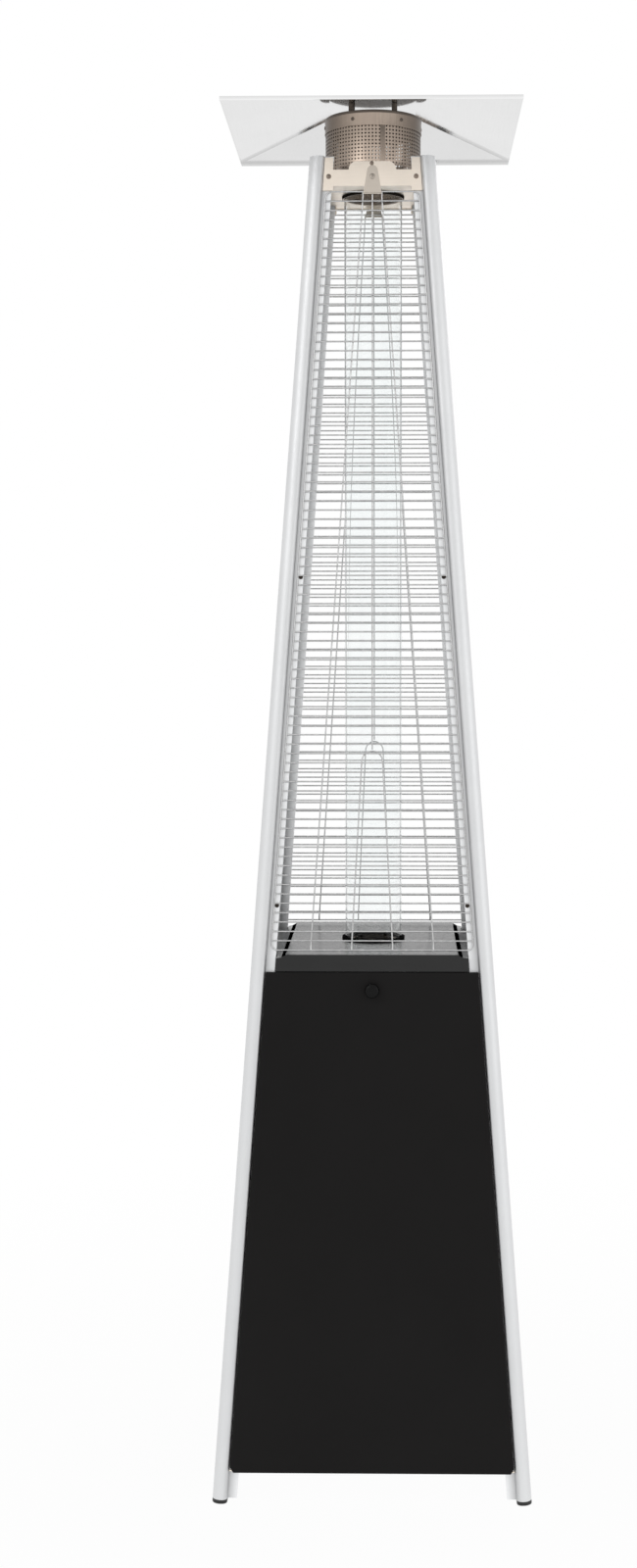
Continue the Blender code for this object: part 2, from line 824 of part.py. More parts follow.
def make_controls(injector_low):
    box_top = DECK_UNDERSIDE - GAP
    box_low = box_top - BOX_HEIGHT
    side = BOX_WIDTH / 2
    corners = [(-side, box_low), (side, box_low), (side, box_top), (-side, box_top)]
    plate_back = -BOX_FRONT + BOX_SHEET
    box = folded(
        "control_box",
        [(x, -BOX_FRONT, z) for x, z in corners],
        [(x, -BOX_FRONT + BOX_DEPTH, z) for x, z in corners],
        BOX_SHEET,
        "galvanised_steel",
    )
    through = (-BOX_SHEET - OVERRUN, OVERRUN)
    cut(box, drum(STEM_RADIUS + STEM_HOLE_CLEARANCE, *through), facing_front(0, -BOX_FRONT, CONTROL_HEIGHT))
    igniter_place = facing_front(-IGNITER_SIDE, -BOX_FRONT, CONTROL_HEIGHT)
    cut(box, drum(IGNITER_RADIUS + GAP, *through), igniter_place)

    valve_front = plate_back + GAP
    valve_back = valve_front + VALVE_DEPTH
    valve_low = CONTROL_HEIGHT - VALVE_HEIGHT / 2
    valve = add(
        "gas_valve",
        block(
            (-VALVE_WIDTH / 2, valve_front, valve_low),
            (VALVE_WIDTH / 2, valve_back, valve_low + VALVE_HEIGHT),
        ),
        "brass",
    )
    bore_depth = STEM_IN_VALVE + STEM_PUSH + GAP
    stem_place = facing_front(0, valve_front, CONTROL_HEIGHT)
    cut(valve, drum(STEM_RADIUS + GAP, -bore_depth, OVERRUN), stem_place)

    stem_out = valve_front + BOX_FRONT + DIAL_STANDOFF + STEM_IN_KNOB
    add("valve_stem", drum(STEM_RADIUS, -STEM_IN_VALVE, stem_out), "brass", stem_place, smooth=True)

    dial_place = facing_front(0, -BOX_FRONT - DIAL_STANDOFF, CONTROL_HEIGHT)
    taper = DIAL_LENGTH / 8
    dial = turned(
        "control_knob",
        [
            (0, DIAL_LENGTH),
            (DIAL_RADIUS - taper, DIAL_LENGTH),
            (DIAL_RADIUS, DIAL_LENGTH - taper),
            (DIAL_RADIUS, 0),
            (0, 0),
        ],
        "black_plastic",
        dial_place,
        ring=False,
    )
    cut(dial, drum(STEM_RADIUS + GAP, -OVERRUN, STEM_IN_KNOB + GAP), dial_place)
    pointer = block(
        (-DIAL_POINTER_WIDTH / 2, 0, DIAL_LENGTH / 2),
        (DIAL_POINTER_WIDTH / 2, DIAL_RADIUS - taper, DIAL_LENGTH + DIAL_POINTER_HEIGHT),
    )
    join(dial, pointer, dial_place)

    bezel_top = GAP + IGNITER_BEZEL_THICKNESS
    button_bore = bezel_top - BUTTON_IN_BODY - BUTTON_TRAVEL - GAP
    bore_radius = BUTTON_RADIUS + GAP
    turned(
        "igniter_body",
        [
            (bore_radius, bezel_top),
            (IGNITER_BEZEL, bezel_top),
            (IGNITER_BEZEL, GAP),
            (IGNITER_RADIUS, GAP),
            (IGNITER_RADIUS, -IGNITER_LENGTH),
            (0, -IGNITER_LENGTH),
            (0, button_bore),
            (bore_radius, button_bore),
        ],
        "black_plastic",
        igniter_place,
        COARSE_STEPS,
    )
    button = drum(BUTTON_RADIUS, bezel_top - BUTTON_IN_BODY, bezel_top + BUTTON_PROUD)
    add("igniter_button", button, "red_plastic", igniter_place, smooth=True)

    switch_low = box_low + BOX_SHEET + GAP
    switch_front = plate_back + GAP
    add(
        "tip_over_switch",
        block(
            (SWITCH_SIDE - SWITCH_WIDTH / 2, switch_front, switch_low),
            (SWITCH_SIDE + SWITCH_WIDTH / 2, switch_front + SWITCH_DEPTH, switch_low + SWITCH_HEIGHT),
        ),
        "black_plastic",
    )

    port_height = CONTROL_HEIGHT - OUTLET_DROP
    inlet_place = facing_front(OUTLET_SIDE, valve_back + GAP, port_height)
    turned(
        "gas_inlet",
        [
            (0, 0),
            (INLET_RADIUS, 0),
            (INLET_RADIUS, -INLET_LENGTH / 2),
            (INLET_RADIUS - INLET_COLLAR, -INLET_LENGTH / 2),
            (INLET_RADIUS - INLET_COLLAR, -INLET_LENGTH),
            (0, -INLET_LENGTH),
        ],
        "brass",
        inlet_place,
        COARSE_STEPS,
        ring=False,
    )
    start = Vector((-OUTLET_SIDE, valve_back + GAP, port_height))
    end = Vector((0, 0, injector_low - GAP))
    low_point = Vector((0, 0, min(port_height, end.z - GAS_PIPE_BEND)))
    route = pipe_route(start, low_point, end)
    pipe = wire(route, GAS_PIPE_RADIUS, sides=2)
    add("gas_pipe", pipe, "bright_steel", smooth=True)


def pipe_route(start, low_point, end):
    """Straight back from the valve, then an even bend up to the injector, square at both ends."""
    steps = 2 * ARC_STEPS
    back = Vector((0, GAS_PIPE_RADIUS, 0))
    up = Vector((0, 0, GAS_PIPE_RADIUS))
    first, last = start + back, end - up
    near = Vector((first.x, (first.y + low_point.y) / 2, first.z))
    far = Vector((last.x, last.y, low_point.z))
    points = [start]
    for i in range(steps + 1):
        t = i / steps
        s = 1 - t
        points.append(s**3 * first + 3 * s**2 * t * near + 3 * s * t**2 * far + t**3 * last)
    return points + [end]


# Head: bracket, clips, screen and reflector


def guard_half(height):
    return body_edge(height) - GUARD_SIDE_GAP


def bracket_outline():
    """One upright of the bracket: a bar with an ear at each end and a flat round-shouldered hump."""
    ear_low = GUARD_TOP + WIRE / 2 + GAP
    ear_in = body_edge(BAR_LOW) - SIDE_GAP - EAR_WIDTH

    def edge(height):
        return body_edge(height) - SIDE_GAP

    shoulder = HUMP_HALF - HUMP_HEIGHT
    hump = [
        *arc((shoulder, slope(BAR_TOP)), HUMP_HEIGHT, 0, 1),
        *arc((-shoulder, slope(BAR_TOP)), HUMP_HEIGHT, 1, 2),
    ]
    lower = [
        (-ear_in, slope(ear_low)),
        (-ear_in, slope(BAR_LOW)),
        (ear_in, slope(BAR_LOW)),
        (ear_in, slope(ear_low)),
        (edge(ear_low), slope(ear_low)),
        (edge(EAR_TOP), slope(EAR_TOP)),
        (ear_in, slope(EAR_TOP)),
        (ear_in, slope(BAR_TOP)),
    ]
    upper = [
        (-ear_in, slope(BAR_TOP)),
        (-ear_in, slope(EAR_TOP)),
        (-edge(EAR_TOP), slope(EAR_TOP)),
        (-edge(ear_low), slope(ear_low)),
    ]
    return lower + hump + upper


def make_bracket():
    reach = half(BRACKET_LEVEL) - FLANGE_STEP + GAP + BRACKET_SHEET / 2
    arm = flange_edge(BRACKET_LEVEL) - GAP
    shelf = outline([[(x, y) for x, y, _ in plus_outline(reach, arm, 0)]], BRACKET_SHEET)
    place = Matrix.Translation((0, 0, BRACKET_LEVEL - BRACKET_SHEET / 2))
    bracket = add("top_bracket", shelf, "bright_steel", place)
    upright = outline([bracket_outline()], BRACKET_SHEET)
    for side in (FRONT, RIGHT, REAR, LEFT):
        seat = Matrix.Translation((0, 0, SEAT_OUT + BRACKET_SHEET / 2))
        join(bracket, upright, face_matrix(side) @ seat)
    hole = TUBE_RADIUS + GAP + RING_SLEEVE + GAP
    cut(bracket, drum(hole, BRACKET_LEVEL - OVERRUN, BRACKET_LEVEL + OVERRUN, FINE_STEPS))


def make_clips():
    corners = [
        (-CLIP_LOW_HALF, slope(CLIP_LOW)),
        (CLIP_LOW_HALF, slope(CLIP_LOW)),
        *arc((0, slope(CLIP_TOP) - CLIP_TOP_HALF), CLIP_TOP_HALF, 0, 2, 2 * ARC_STEPS),
    ]
    clip = outline([corners], CLIP_SHEET)
    out = SEAT_OUT + max(BRACKET_SHEET, WIRE) + GAP + CLIP_SHEET / 2
    for name, side in (("front", FRONT), ("right", RIGHT), ("rear", REAR), ("left", LEFT)):
        place = face_matrix(side) @ Matrix.Translation((0, 0, out))
        add(f"guard_clip_{name}", clip.copy(), "bright_steel", place)


def make_screen():
    """The flame screen and its lid. Returns the height of the lid's top."""
    low = BRACKET_LEVEL + GAP
    top = low + SCREEN_HEIGHT
    inside = SCREEN_RADIUS - SCREEN_SHEET
    turned(
        "flame_screen",
        [
            (inside, top),
            (SCREEN_RADIUS, top),
            (SCREEN_RADIUS, low),
            (SCREEN_RADIUS - SCREEN_FOOT, low),
            (SCREEN_RADIUS - SCREEN_FOOT, low + SCREEN_SHEET),
            (inside, low + SCREEN_SHEET),
        ],
        "heat_tinted_steel",
    )
    skirt_in = SCREEN_RADIUS + GAP
    skirt_out = skirt_in + LID_SHEET
    under = top + GAP
    lid_top = under + LID_SHEET
    turned(
        "screen_lid",
        [
            (0, lid_top),
            (skirt_out, lid_top),
            (skirt_out, lid_top - LID_SKIRT),
            (skirt_in, lid_top - LID_SKIRT),
            (skirt_in, under),
            (0, under),
        ],
        "heat_tinted_steel",
        ring=False,
    )
    return lid_top


def square_outline(reach, height):
    """A square's corners, seen from above and counterclockwise."""
    return [(x * reach, y * reach, height) for x, y in ((-1, -1), (1, -1), (1, 1), (-1, 1))]


def make_reflector(lid_top):
    """A shallow four-sided hood with a flat middle, on four posts with nuts."""
    flat_under = lid_top + GAP + POST_HEIGHT + GAP
    flat_top = flat_under + REFLECTOR_SHEET
    edge = flat_top - REFLECTOR_DROP
    rings = (
        square_outline(REFLECTOR_FLAT_WIDTH / 2, flat_top),
        square_outline(REFLECTOR_WIDTH / 2, edge),
        square_outline(REFLECTOR_WIDTH / 2, edge - REFLECTOR_RIM),
    )
    reflector = folded_hood("reflector", rings, REFLECTOR_SHEET, "mirror_aluminium")

    nut_low = flat_top + GAP
    for number in range(4):
        turn = Matrix.Rotation(number * QUARTER, 4, "Z")
        place = turn @ Matrix.Translation((-POST_SPREAD, -POST_SPREAD, 0))
        post_low = lid_top + GAP
        post_top = post_low + POST_HEIGHT
        turned(
            f"reflector_post_{number + 1}",
            [
                (0, flat_top + STUD_ABOVE),
                (STUD_RADIUS, flat_top + STUD_ABOVE),
                (STUD_RADIUS, post_top),
                (POST_RADIUS, post_top),
                (POST_RADIUS, post_low),
                (0, post_low),
            ],
            "heat_tinted_steel",
            place,
            COARSE_STEPS,
            ring=False,
        )
        cut(reflector, drum(STUD_RADIUS + GAP, flat_under - OVERRUN, flat_top + OVERRUN), place)
        make_nut(f"reflector_nut_{number + 1}", nut_low, place)


def folded_hood(name, rings, sheet, material):
    """A sheet over a first ring of corners, carried down through the others."""
    edit = bmesh.new()
    rows = [[edit.verts.new(point) for point in ring] for ring in rings]
    edit.faces.new(rows[0])
    for upper, lower in zip(rows, rows[1:]):
        for i in range(len(upper)):
            j = (i + 1) % len(upper)
            edit.faces.new((upper[i], lower[i], lower[j], upper[j]))
    mesh = bpy.data.meshes.new(name)
    edit.to_mesh(mesh)
    edit.free()
    piece = add(name, mesh, material)
    give_walls(piece, sheet)
    return piece


def make_nut(name, low, place):
    """A low hexagon nut with a round flange, free of the stud by a small gap."""
    top = low + NUT_HEIGHT
    nut = add(name, drum(NUT_FLANGE_RADIUS, low, low + NUT_FLANGE), "bright_steel", place)
    join(nut, drum(NUT_RADIUS, low + NUT_FLANGE / 2, top, NUT_SIDES), place)
    cut(nut, drum(STUD_RADIUS + GAP, low - OVERRUN, top + OVERRUN), place)


# Wire guards


def guard_frame():
    """The rungs and rails of a guard, as a flat net of faces."""
    low, top = slope(GUARD_LOW), slope(GUARD_TOP)
    spaces = round((top - low) / RUNG_PITCH)
    pitch = (top - low) / spaces
    edit = bmesh.new()

    def pair(up, inset):
        """The left and right points of the frame at a distance up the slope."""
        x = guard_half(0) - up * math.sin(LEAN) - inset
        return [edit.verts.new((sign * x, up, 0)) for sign in (-1, 1)]

    rows = []
    for i in range(spaces + 1):
        middle = low + i * pitch
        under, over = (pair(middle + offset, RAIL_WIDTH) for offset in (-WIRE / 2, WIRE / 2))
        edit.faces.new((under[0], under[1], over[1], over[0]))
        rows += [under, over]
    feet, heads = pair(low - WIRE / 2, 0), pair(top + WIRE / 2, 0)
    edit.faces.new([feet[0], *[left for left, right in rows], heads[0]])
    edit.faces.new([heads[1], *[right for left, right in reversed(rows)], feet[1]])
    bmesh.ops.recalc_face_normals(edit, faces=edit.faces)
    mesh = bpy.data.meshes.new("guard_net")
    edit.to_mesh(mesh)
    edit.free()
    return mesh


def upright_wires():
    """Routes of the wires behind the rungs, each end turned forward onto the frame."""
    low, top = slope(GUARD_LOW), slope(GUARD_TOP)
    back = -WIRE - GAP
    turn_in = RUNG_PITCH / 2
    wide_low = guard_half(GUARD_LOW) * PAIR_LOW_SHARE
    near_low = guard_half(GUARD_LOW) * PAIR_TOP_SHARE
    near_top = guard_half(GUARD_TOP) * PAIR_TOP_SHARE
    routes = []
    for sign in (-1, 1):
        routes.append(
            [
                (sign * wide_low, low, 0),
                (sign * wide_low, low + turn_in, back),
                (sign * near_top, top - turn_in, back),
                (sign * near_top, top, 0),
            ]
        )
    pin_top = slope(HAIRPIN_TOP)
    middle = (0, pin_top - HAIRPIN_BEND)
    loop = [(x, y, back) for x, y in arc(middle, HAIRPIN_BEND, 0, 2, 2 * ARC_STEPS)]
    ends = [(near_low, low, 0), (near_low, low + turn_in, back)]
    routes.append(ends + loop + [(-x, y, z) for x, y, z in reversed(ends)])
    centre_low = pin_top + GAP + WIRE
    routes.append([(0, centre_low, back), (0, top - turn_in, back), (0, top, 0)])
    return routes


def make_guards():
    """Four like guards, joined once and shared."""
    pattern = add("guard_pattern", guard_frame(), "chromed_wire")
    body = pattern.modifiers.new("Body", "SOLIDIFY")
    body.thickness = WIRE
    body.offset = 0
    for route in upright_wires():
        join(pattern, wire(route, WIRE / 2))
    guard = evaluated_mesh(pattern)
    bpy.data.objects.remove(pattern)
    seat = Matrix.Translation((0, 0, SEAT_OUT + WIRE / 2))
    for name, side in (("front", FRONT), ("right", RIGHT), ("rear", REAR), ("left", LEFT)):
        add(f"wire_guard_{name}", guard, "chromed_wire", face_matrix(side) @ seat)


# Wheels


def make_wheels():
    along = Matrix.Rotation(QUARTER, 4, "Y")
    axle_place = Matrix.Translation((0, AXLE_BACK, AXLE_HEIGHT)) @ along
    wheel_middle = CARRIER_HALF + WHEEL_SIDE_GAP + WHEEL_HUB_PROUD + WHEEL_WIDTH / 2
    hub_half = WHEEL_WIDTH / 2 + WHEEL_HUB_PROUD
    shank = wheel_middle + hub_half + WHEEL_SIDE_GAP
    end = shank + AXLE_HEAD
    turned(
        "wheel_axle",
        [
            (0, end),
            (AXLE_HEAD_RADIUS, end),
            (AXLE_HEAD_RADIUS, shank),
            (AXLE_RADIUS, shank),
            (AXLE_RADIUS, -shank),
            (AXLE_HEAD_RADIUS, -shank),
            (AXLE_HEAD_RADIUS, -end),
            (0, -end),
        ],
        "bright_steel",
        axle_place,
        COARSE_STEPS,
        ring=False,
    )
    side = WHEEL_WIDTH / 2
    bore = AXLE_RADIUS + GAP
    shoulder = WHEEL_RADIUS - WHEEL_ROUND
    profile = [
        (bore, hub_half),
        (WHEEL_HUB_RADIUS, hub_half),
        (WHEEL_HUB_RADIUS, side),
        (shoulder, side),
        (WHEEL_RADIUS, side - WHEEL_ROUND),
        (WHEEL_RADIUS, WHEEL_ROUND - side),
        (shoulder, -side),
        (WHEEL_HUB_RADIUS, -side),
        (WHEEL_HUB_RADIUS, -hub_half),
        (bore, -hub_half),
    ]
    for name, sign in (("wheel_left", -1), ("wheel_right", 1)):
        place = Matrix.Translation((sign * wheel_middle, 0, 0)) @ axle_place
        turned(name, profile, "dark_rubber", place)

    low, top = CARRIER_LOW, CARRIER_LOW + CARRIER_HEIGHT
    out = GAP - PANEL_INSET
    plate = block(
        (-CARRIER_HALF, slope(low), out), (CARRIER_HALF, slope(top), out + CARRIER_SHEET)
    )
    carrier = add("wheel_carrier", plate, "black_paint", face_matrix(REAR))

    def root(height):
        return half(height) + (out + CARRIER_SHEET / 2) / math.cos(LEAN)

    tip = arc((AXLE_BACK, AXLE_HEIGHT), EAR_ROUND, -1, 1)
    ear = outline([[(root(top), top - GAP), (root(low), low + GAP), *tip]], CARRIER_SHEET)
    upright = Matrix(((0, 0, 1, 0), (1, 0, 0, 0), (0, 1, 0, 0), (0, 0, 0, 1)))
    for sign in (-1, 1):
        middle = sign * (CARRIER_HALF - CARRIER_SHEET / 2)
        join(carrier, ear, Matrix.Translation((middle, 0, 0)) @ upright)
    reach = CARRIER_HALF + OVERRUN
    cut(carrier, drum(AXLE_RADIUS + GAP, -reach, reach), axle_place)


make_legs()
make_door()
make_fixed_panels()
make_catch()
make_shelf()
make_deck()
make_tube()
make_controls(make_burner())
make_bracket()
make_clips()
make_guards()
make_reflector(make_screen())
make_wheels()
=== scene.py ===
"""The finished look of the pyramid patio heater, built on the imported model."""

import json
import math

import bmesh
import bpy
from mathutils import Matrix, Vector


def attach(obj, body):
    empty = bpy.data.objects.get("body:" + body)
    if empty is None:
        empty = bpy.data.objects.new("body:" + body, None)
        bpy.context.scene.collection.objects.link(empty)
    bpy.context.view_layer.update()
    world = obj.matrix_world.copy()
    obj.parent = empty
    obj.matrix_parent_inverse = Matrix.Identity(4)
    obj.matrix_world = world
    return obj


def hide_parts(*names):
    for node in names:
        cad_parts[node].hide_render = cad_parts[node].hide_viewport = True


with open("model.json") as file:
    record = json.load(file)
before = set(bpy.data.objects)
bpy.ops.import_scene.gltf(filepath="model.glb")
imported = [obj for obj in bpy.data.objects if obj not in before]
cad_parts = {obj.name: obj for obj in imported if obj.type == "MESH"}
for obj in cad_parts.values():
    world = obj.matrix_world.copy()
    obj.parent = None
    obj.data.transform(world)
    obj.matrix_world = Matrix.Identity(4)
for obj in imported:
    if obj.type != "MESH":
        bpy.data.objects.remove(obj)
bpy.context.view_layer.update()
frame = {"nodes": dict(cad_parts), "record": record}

# Sizes are in metres, as in the part's own source

FORWARD_SHIFT = 0.046269
GAP = 0.0003
SIDE_GAP = 0.0006

SOFT_EDGE = 0.0003
BLOCK_EDGE = 0.0005
CUTTER_EDGE = 0.0001
FOLD_ROUND = 0.0012
FOLD_ANGLE = math.radians(8)
WELD = 0.000001
CELL_WELD = 0.00001
CORNER_SIDE_SHARE = 0.48
NEARLY_STRAIGHT = math.pi - 0.01
SCREW_RIM_SHARE = 0.35
SCREW_ARM_SHARE = 0.52
SCREW_SLOT_SHARE = 0.12

BASE_WIDTH = 0.510
TOP_WIDTH = 0.201
LEG_TOP = 2.142
LEG_FACE = 0.0242
LEG_ROUND = 0.015
LEG_EDGE_ROUND = 0.008
LEG_WALL = 0.002
FLANGE_WIDTH = 0.015
FLANGE_SHEET = 0.0015
FLANGE_STEP = 0.010
FLANGE_LIP_SHARE = 0.45
LEG_EDGE = 0.0001
LEG_STEPS = 12
LEG_MARGIN = 0.0002
FOOT_HEIGHT = 0.006
FOOT_EDGE = 0.0008

PANEL_LOW = 0.049
PANEL_TOP = 0.8445
PANEL_INSET = 0.001
PANEL_SHEET = 0.0012
PANEL_FOLD = 0.0085
DOOR_FOLD = 0.007
CORNER_CUT_WIDTH = 0.0056
CORNER_CUT_HEIGHT = 0.0089
VENT_COUNT = 6
VENT_WIDTH = 0.160
VENT_HEIGHT = 0.006
VENT_PITCH = 0.020
VENT_LOW = 0.120
VENT_CUTTER = 0.02

KNOB_HEIGHT = 0.8163
KNOB_RADIUS = 0.0117
KNOB_NECK_RADIUS = 0.006
KNOB_NECK = 0.008
KNOB_HEAD = 0.012
KNOB_COLLAR_SHARE = 0.12
KNOB_STEP = 0.0006
KNOB_DISH = 0.0005

DECK_TOP = 0.8722
DECK_SHEET = 0.0012
DECK_SEAM = 0.0012
DECK_STEP = 0.006
DECK_PLATFORM = 0.1370
DECK_BEND = 0.0080
DECK_BEND_SHARE = 0.75
DECK_BEND_MARGIN = 0.0003
DECK_FOLD = 0.0010
HOLE_CUTTER = 0.01
BURNER_HOLE_RADIUS = 0.0405
TUBE_RADIUS = 0.0475
TUBE_WALL = 0.0025
TUBE_LIP_SHARE = 0.45
TUBE_TOP = 2.116
SEAT_RADIUS = 0.0525
SEAT_HEIGHT = 0.004
SEAT_FLOOR = 0.0012
SEAT_BORE = 0.0435
SEAT_ROUND = 0.0012

CUP_RADIUS = 0.038
CUP_WALL = 0.001
CUP_FLOOR = 0.815
HOOD_SHOULDER = 0.8662
HOOD_TOP = 0.8755
HOOD_CROWN_RADIUS = 0.026
HOOD_CENTRE_RADIUS = 0.004
HOOD_BUTTON_RADIUS = 0.0042
HOOD_WALL = 0.0008
PORT_BAND = 0.012
PORT_COLUMNS = 48
PORT_ROWS = 3

BRACKET_LEVEL = 2.098
BRACKET_SHEET = 0.0022
BRACKET_CORNER = 0.002
BAR_CORNER = 0.0012
BAR_LOW = 2.0952
BAR_TOP = 2.1216
EAR_TOP = 2.141
EAR_WIDTH = 0.0165
HUMP_HALF = 0.038
HUMP_HEIGHT = 0.0135
RING_FLANGE_RADIUS = 0.058
RING_FLANGE_HEIGHT = 0.003
RING_SLEEVE = 0.003
RING_DROP = 0.004
RING_ROUND = 0.0010
CLIP_SHEET = 0.0015
CLIP_TOP = 2.128
CLIP_LOW = 2.0823
CLIP_TOP_HALF = 0.0085
CLIP_LOW_HALF = 0.0150
CLIP_LIP_RADIUS = 0.0012
CLIP_LIP_RISE = 0.0014
GUARD_SCREWS = (0.950, 1.473)
EAR_SCREW_SIZE = (0.0040, 0.0018)
BAR_SCREW_SIZE = (0.0044, 0.0022)
HUMP_SCREW_SIZE = (0.0033, 0.0018)
CAP_SCREW_SIZE = (0.0030, 0.0016)
GUARD_SCREW_SIZE = (0.0034, 0.0022)
EAR_SCREW = 2.1105
BAR_SCREW = 2.1100
HUMP_SCREW = 2.1315
HUMP_SCREW_ASIDE = 0.001
GUARD_SCREW_INSET = 0.0036

GUARD_LOW = 0.879
GUARD_TOP = 2.0865
GUARD_SIDE_GAP = 0.0045
WIRE = 0.0024
RUNG_PITCH = 0.0149
HAIRPIN_TOP = 1.1956
HAIRPIN_BEND = 0.0167
PAIR_LOW_SHARE = 0.60
PAIR_TOP_SHARE = 0.20
GUARD_CORNER = 0.012
PAIR_BEND = 0.004

SCREEN_INSET = 0.0259
SCREEN_SHEET = 0.0008
SCREEN_FOOT = 0.008
SCREEN_HEIGHT = 0.1195
SCREEN_PLAIN_LOW = 0.008
SCREEN_PLAIN_TOP = 0.010
SCREEN_COLUMNS = 86
SCREEN_ROWS = 18
SEAM_START = 9
SEAM_STEP = 1.2
SEAM_POINTS = 6
SEAM_MARGIN = 0.001
SEAM_SHEET = 0.0006
LID_SHEET = 0.001
LID_SKIRT = 0.0245
LID_EDGE = 0.0042
LID_FLAT_MARGIN = 0.006
LID_ROUND = 0.0012
LID_BAND = 0.0045
LID_GROOVE_TOP = 0.0052
LID_GROOVE_LOW = 0.0030
LID_HEM = 0.0022
LID_STEP = 0.0004
CAP_SCREW_COUNT = 6
CAP_SCREW_START = -24
CAP_SCREW_DROP = 0.0135
CAP_SCREW_SINK = 0.0006
POST_SPREAD = 0.035
POST_RADIUS = 0.0045
POST_ROUND = 0.0006
STUD_RADIUS = 0.003
POST_HEIGHT = 0.0191
STUD_ABOVE = 0.0038
REFLECTOR_WIDTH = 0.4655
REFLECTOR_FLAT_WIDTH = 0.140
REFLECTOR_DROP = 0.0366
REFLECTOR_SHEET = 0.0008
REFLECTOR_RIM = 0.006
REFLECTOR_FOLD = 0.0001
NUT_RADIUS = 0.0058
NUT_HEIGHT = 0.0042
NUT_FLANGE_RADIUS = 0.007
NUT_FLANGE = 0.0012
NUT_CHAMFER = 0.0007
NUT_FLANGE_ROUND = 0.0004

BOX_BEHIND = 0.046
CONTROL_HEIGHT = 0.8061
STEM_RADIUS = 0.004
STEM_IN_KNOB = 0.009
DIAL_RADIUS = 0.019
DIAL_LENGTH = 0.020
DIAL_STANDOFF = 0.0055
DIAL_POINTER_WIDTH = 0.004
DIAL_POINTER_HEIGHT = 0.003
DIAL_POINTER_SUNK = 0.002
DIAL_POINTER_EDGE = 0.0007
DIAL_STEPS = 192
DIAL_FLUTES = 24
DIAL_FLUTE_DEPTH = 0.0007
DIAL_ROUND = 0.0006
DIAL_SKIRT = 0.0030
DIAL_CROWN = 0.0004
DIAL_DISH = 0.0005
DIAL_SWEEP = 210
TICK_COUNT = 8
TICK_RADIUS = 0.0215
TICK_LENGTH = 0.0028
TICK_END_LENGTH = 0.0045
TICK_HALF = 0.0005
TICK_HEIGHT = 0.0003
TICK_SUNK = 0.0001
IGNITER_SIDE = 0.047
IGNITER_RADIUS = 0.0105
IGNITER_BEZEL = 0.014
IGNITER_BEZEL_THICKNESS = 0.002
IGNITER_LENGTH = 0.034
IGNITER_END = 0.001
BEZEL_ROUND = 0.0008
THREAD_COUNT = 9
THREAD_START = 0.0035
THREAD_PITCH = 0.0022
THREAD_DEPTH = 0.0007
THREAD_FLANK = 0.0006
BUTTON_RADIUS = 0.0075
BUTTON_PROUD = 0.008
BUTTON_TRAVEL = 0.005
BUTTON_IN_BODY = 0.006
BUTTON_ROUND = 0.0004

WHEEL_RADIUS = 0.045
WHEEL_WIDTH = 0.024
WHEEL_HUB_RADIUS = 0.012
WHEEL_HUB_PROUD = 0.002
WHEEL_HUB_ROUND = 0.0008
WHEEL_DISH = 0.0035
WHEEL_RIM_SHARE = 0.70
WHEEL_RIM_ROUND = 0.001
WHEEL_RIM_STEP = 0.0006
GROOVE_SPACING = 0.0045
GROOVE_HALF = 0.0008
GROOVE_FLOOR_HALF = 0.0005
GROOVE_DEPTH = 0.0012
WHEEL_ROUND = 0.005
WHEEL_ABOVE_FLOOR = 0.003
WHEEL_BEHIND = 0.006
AXLE_RADIUS = 0.004
WHEEL_MIDDLE = 0.176

# The tone is the share of a finish's colour that a piece, or a part of it, shows; some tones are painted
# shade or a painted reflection, as marked where they are set

# Painted shade on the legs: the flanges and the inner rounding of each face
FLANGE_PAINTED_SHADE_TONE = 0.98
LEG_ROUND_PAINTED_SHADE_TONE = 0.80
LEG_ROUND_PAINTED_SHADE_LOSS = 0.18
COLLAR_TONE = 0.04
COLLAR_BORE_TONE = 0.9
REFLECTOR_TONE = 0.82
LID_TOP_TONE = 0.25
SCREEN_MIDDLE_TONE = 0.3
# Painted shade on the screen: its left and right sides darker than its front and rear
SCREEN_SIDE_PAINTED_SHADE_TONE = 0.33

# The photograph, in pixels, and its camera's angles in radians

PHOTO_HEIGHT = 1600
PHOTO_FOCAL = 2186.7
PHOTO_MIDDLE_OFFSET = 41.6
CAMERA_PITCH = 0.0697
CAMERA_YAW = -0.0187
CAMERA_ROLL = -0.0009
CAMERA_ASIDE = 0.0432
CAMERA_DISTANCE = 3.5733
CAMERA_HEIGHT = 1.3809
SENSOR_HEIGHT = 24
FAR_CLIP = 200

# The floor's glow rises from its first share to its last between two distances from the middle

SHADOW_REACH = (0.5, 2.0)
FLOOR_GLOW_SHARES = (0.965, 1.0)
FLOOR_SIZE = 60
WORLD_STRENGTH = 0.55

QUARTER = math.pi / 2
FULL_TURN = 2 * math.pi
TAPER = (BASE_WIDTH - TOP_WIDTH) / 2 / LEG_TOP
LEAN = math.atan(TAPER)
SEAT_OUT = GAP - FLANGE_STEP * math.cos(LEAN)
FRONT, RIGHT, REAR, LEFT = range(4)
SIDES = (("front", FRONT), ("right", RIGHT), ("rear", REAR), ("left", LEFT))


def shift(x, y, z):
    return Matrix.Translation((x, y, z))


def spin(angle):
    """A turn about the upright axis."""
    return Matrix.Rotation(angle, 4, "Z")


def half(height):
    """Half the distance across the legs' outer faces at this height."""
    return BASE_WIDTH / 2 - TAPER * height


def slope(height):
    """Distance up a leaning face to this height."""
    return height / math.cos(LEAN)


def face_matrix(side):
    """The frame of one leaning face: across, up the slope, and outwards."""
    turn = spin(side * QUARTER)
    return turn @ shift(0, -half(0), 0) @ Matrix.Rotation(QUARTER - LEAN, 4, "X")


def body_edge(height):
    return half(height) - LEG_FACE


def sheet_edge(height):
    return body_edge(height) - SIDE_GAP


def flange_edge(height):
    return body_edge(height) - FLANGE_WIDTH


def guard_half(height):
    return body_edge(height) - GUARD_SIDE_GAP


HOME = shift(0, -FORWARD_SHIFT, 0)
SCREEN_RADIUS = half(BRACKET_LEVEL) - SCREEN_INSET


# Shader nodes


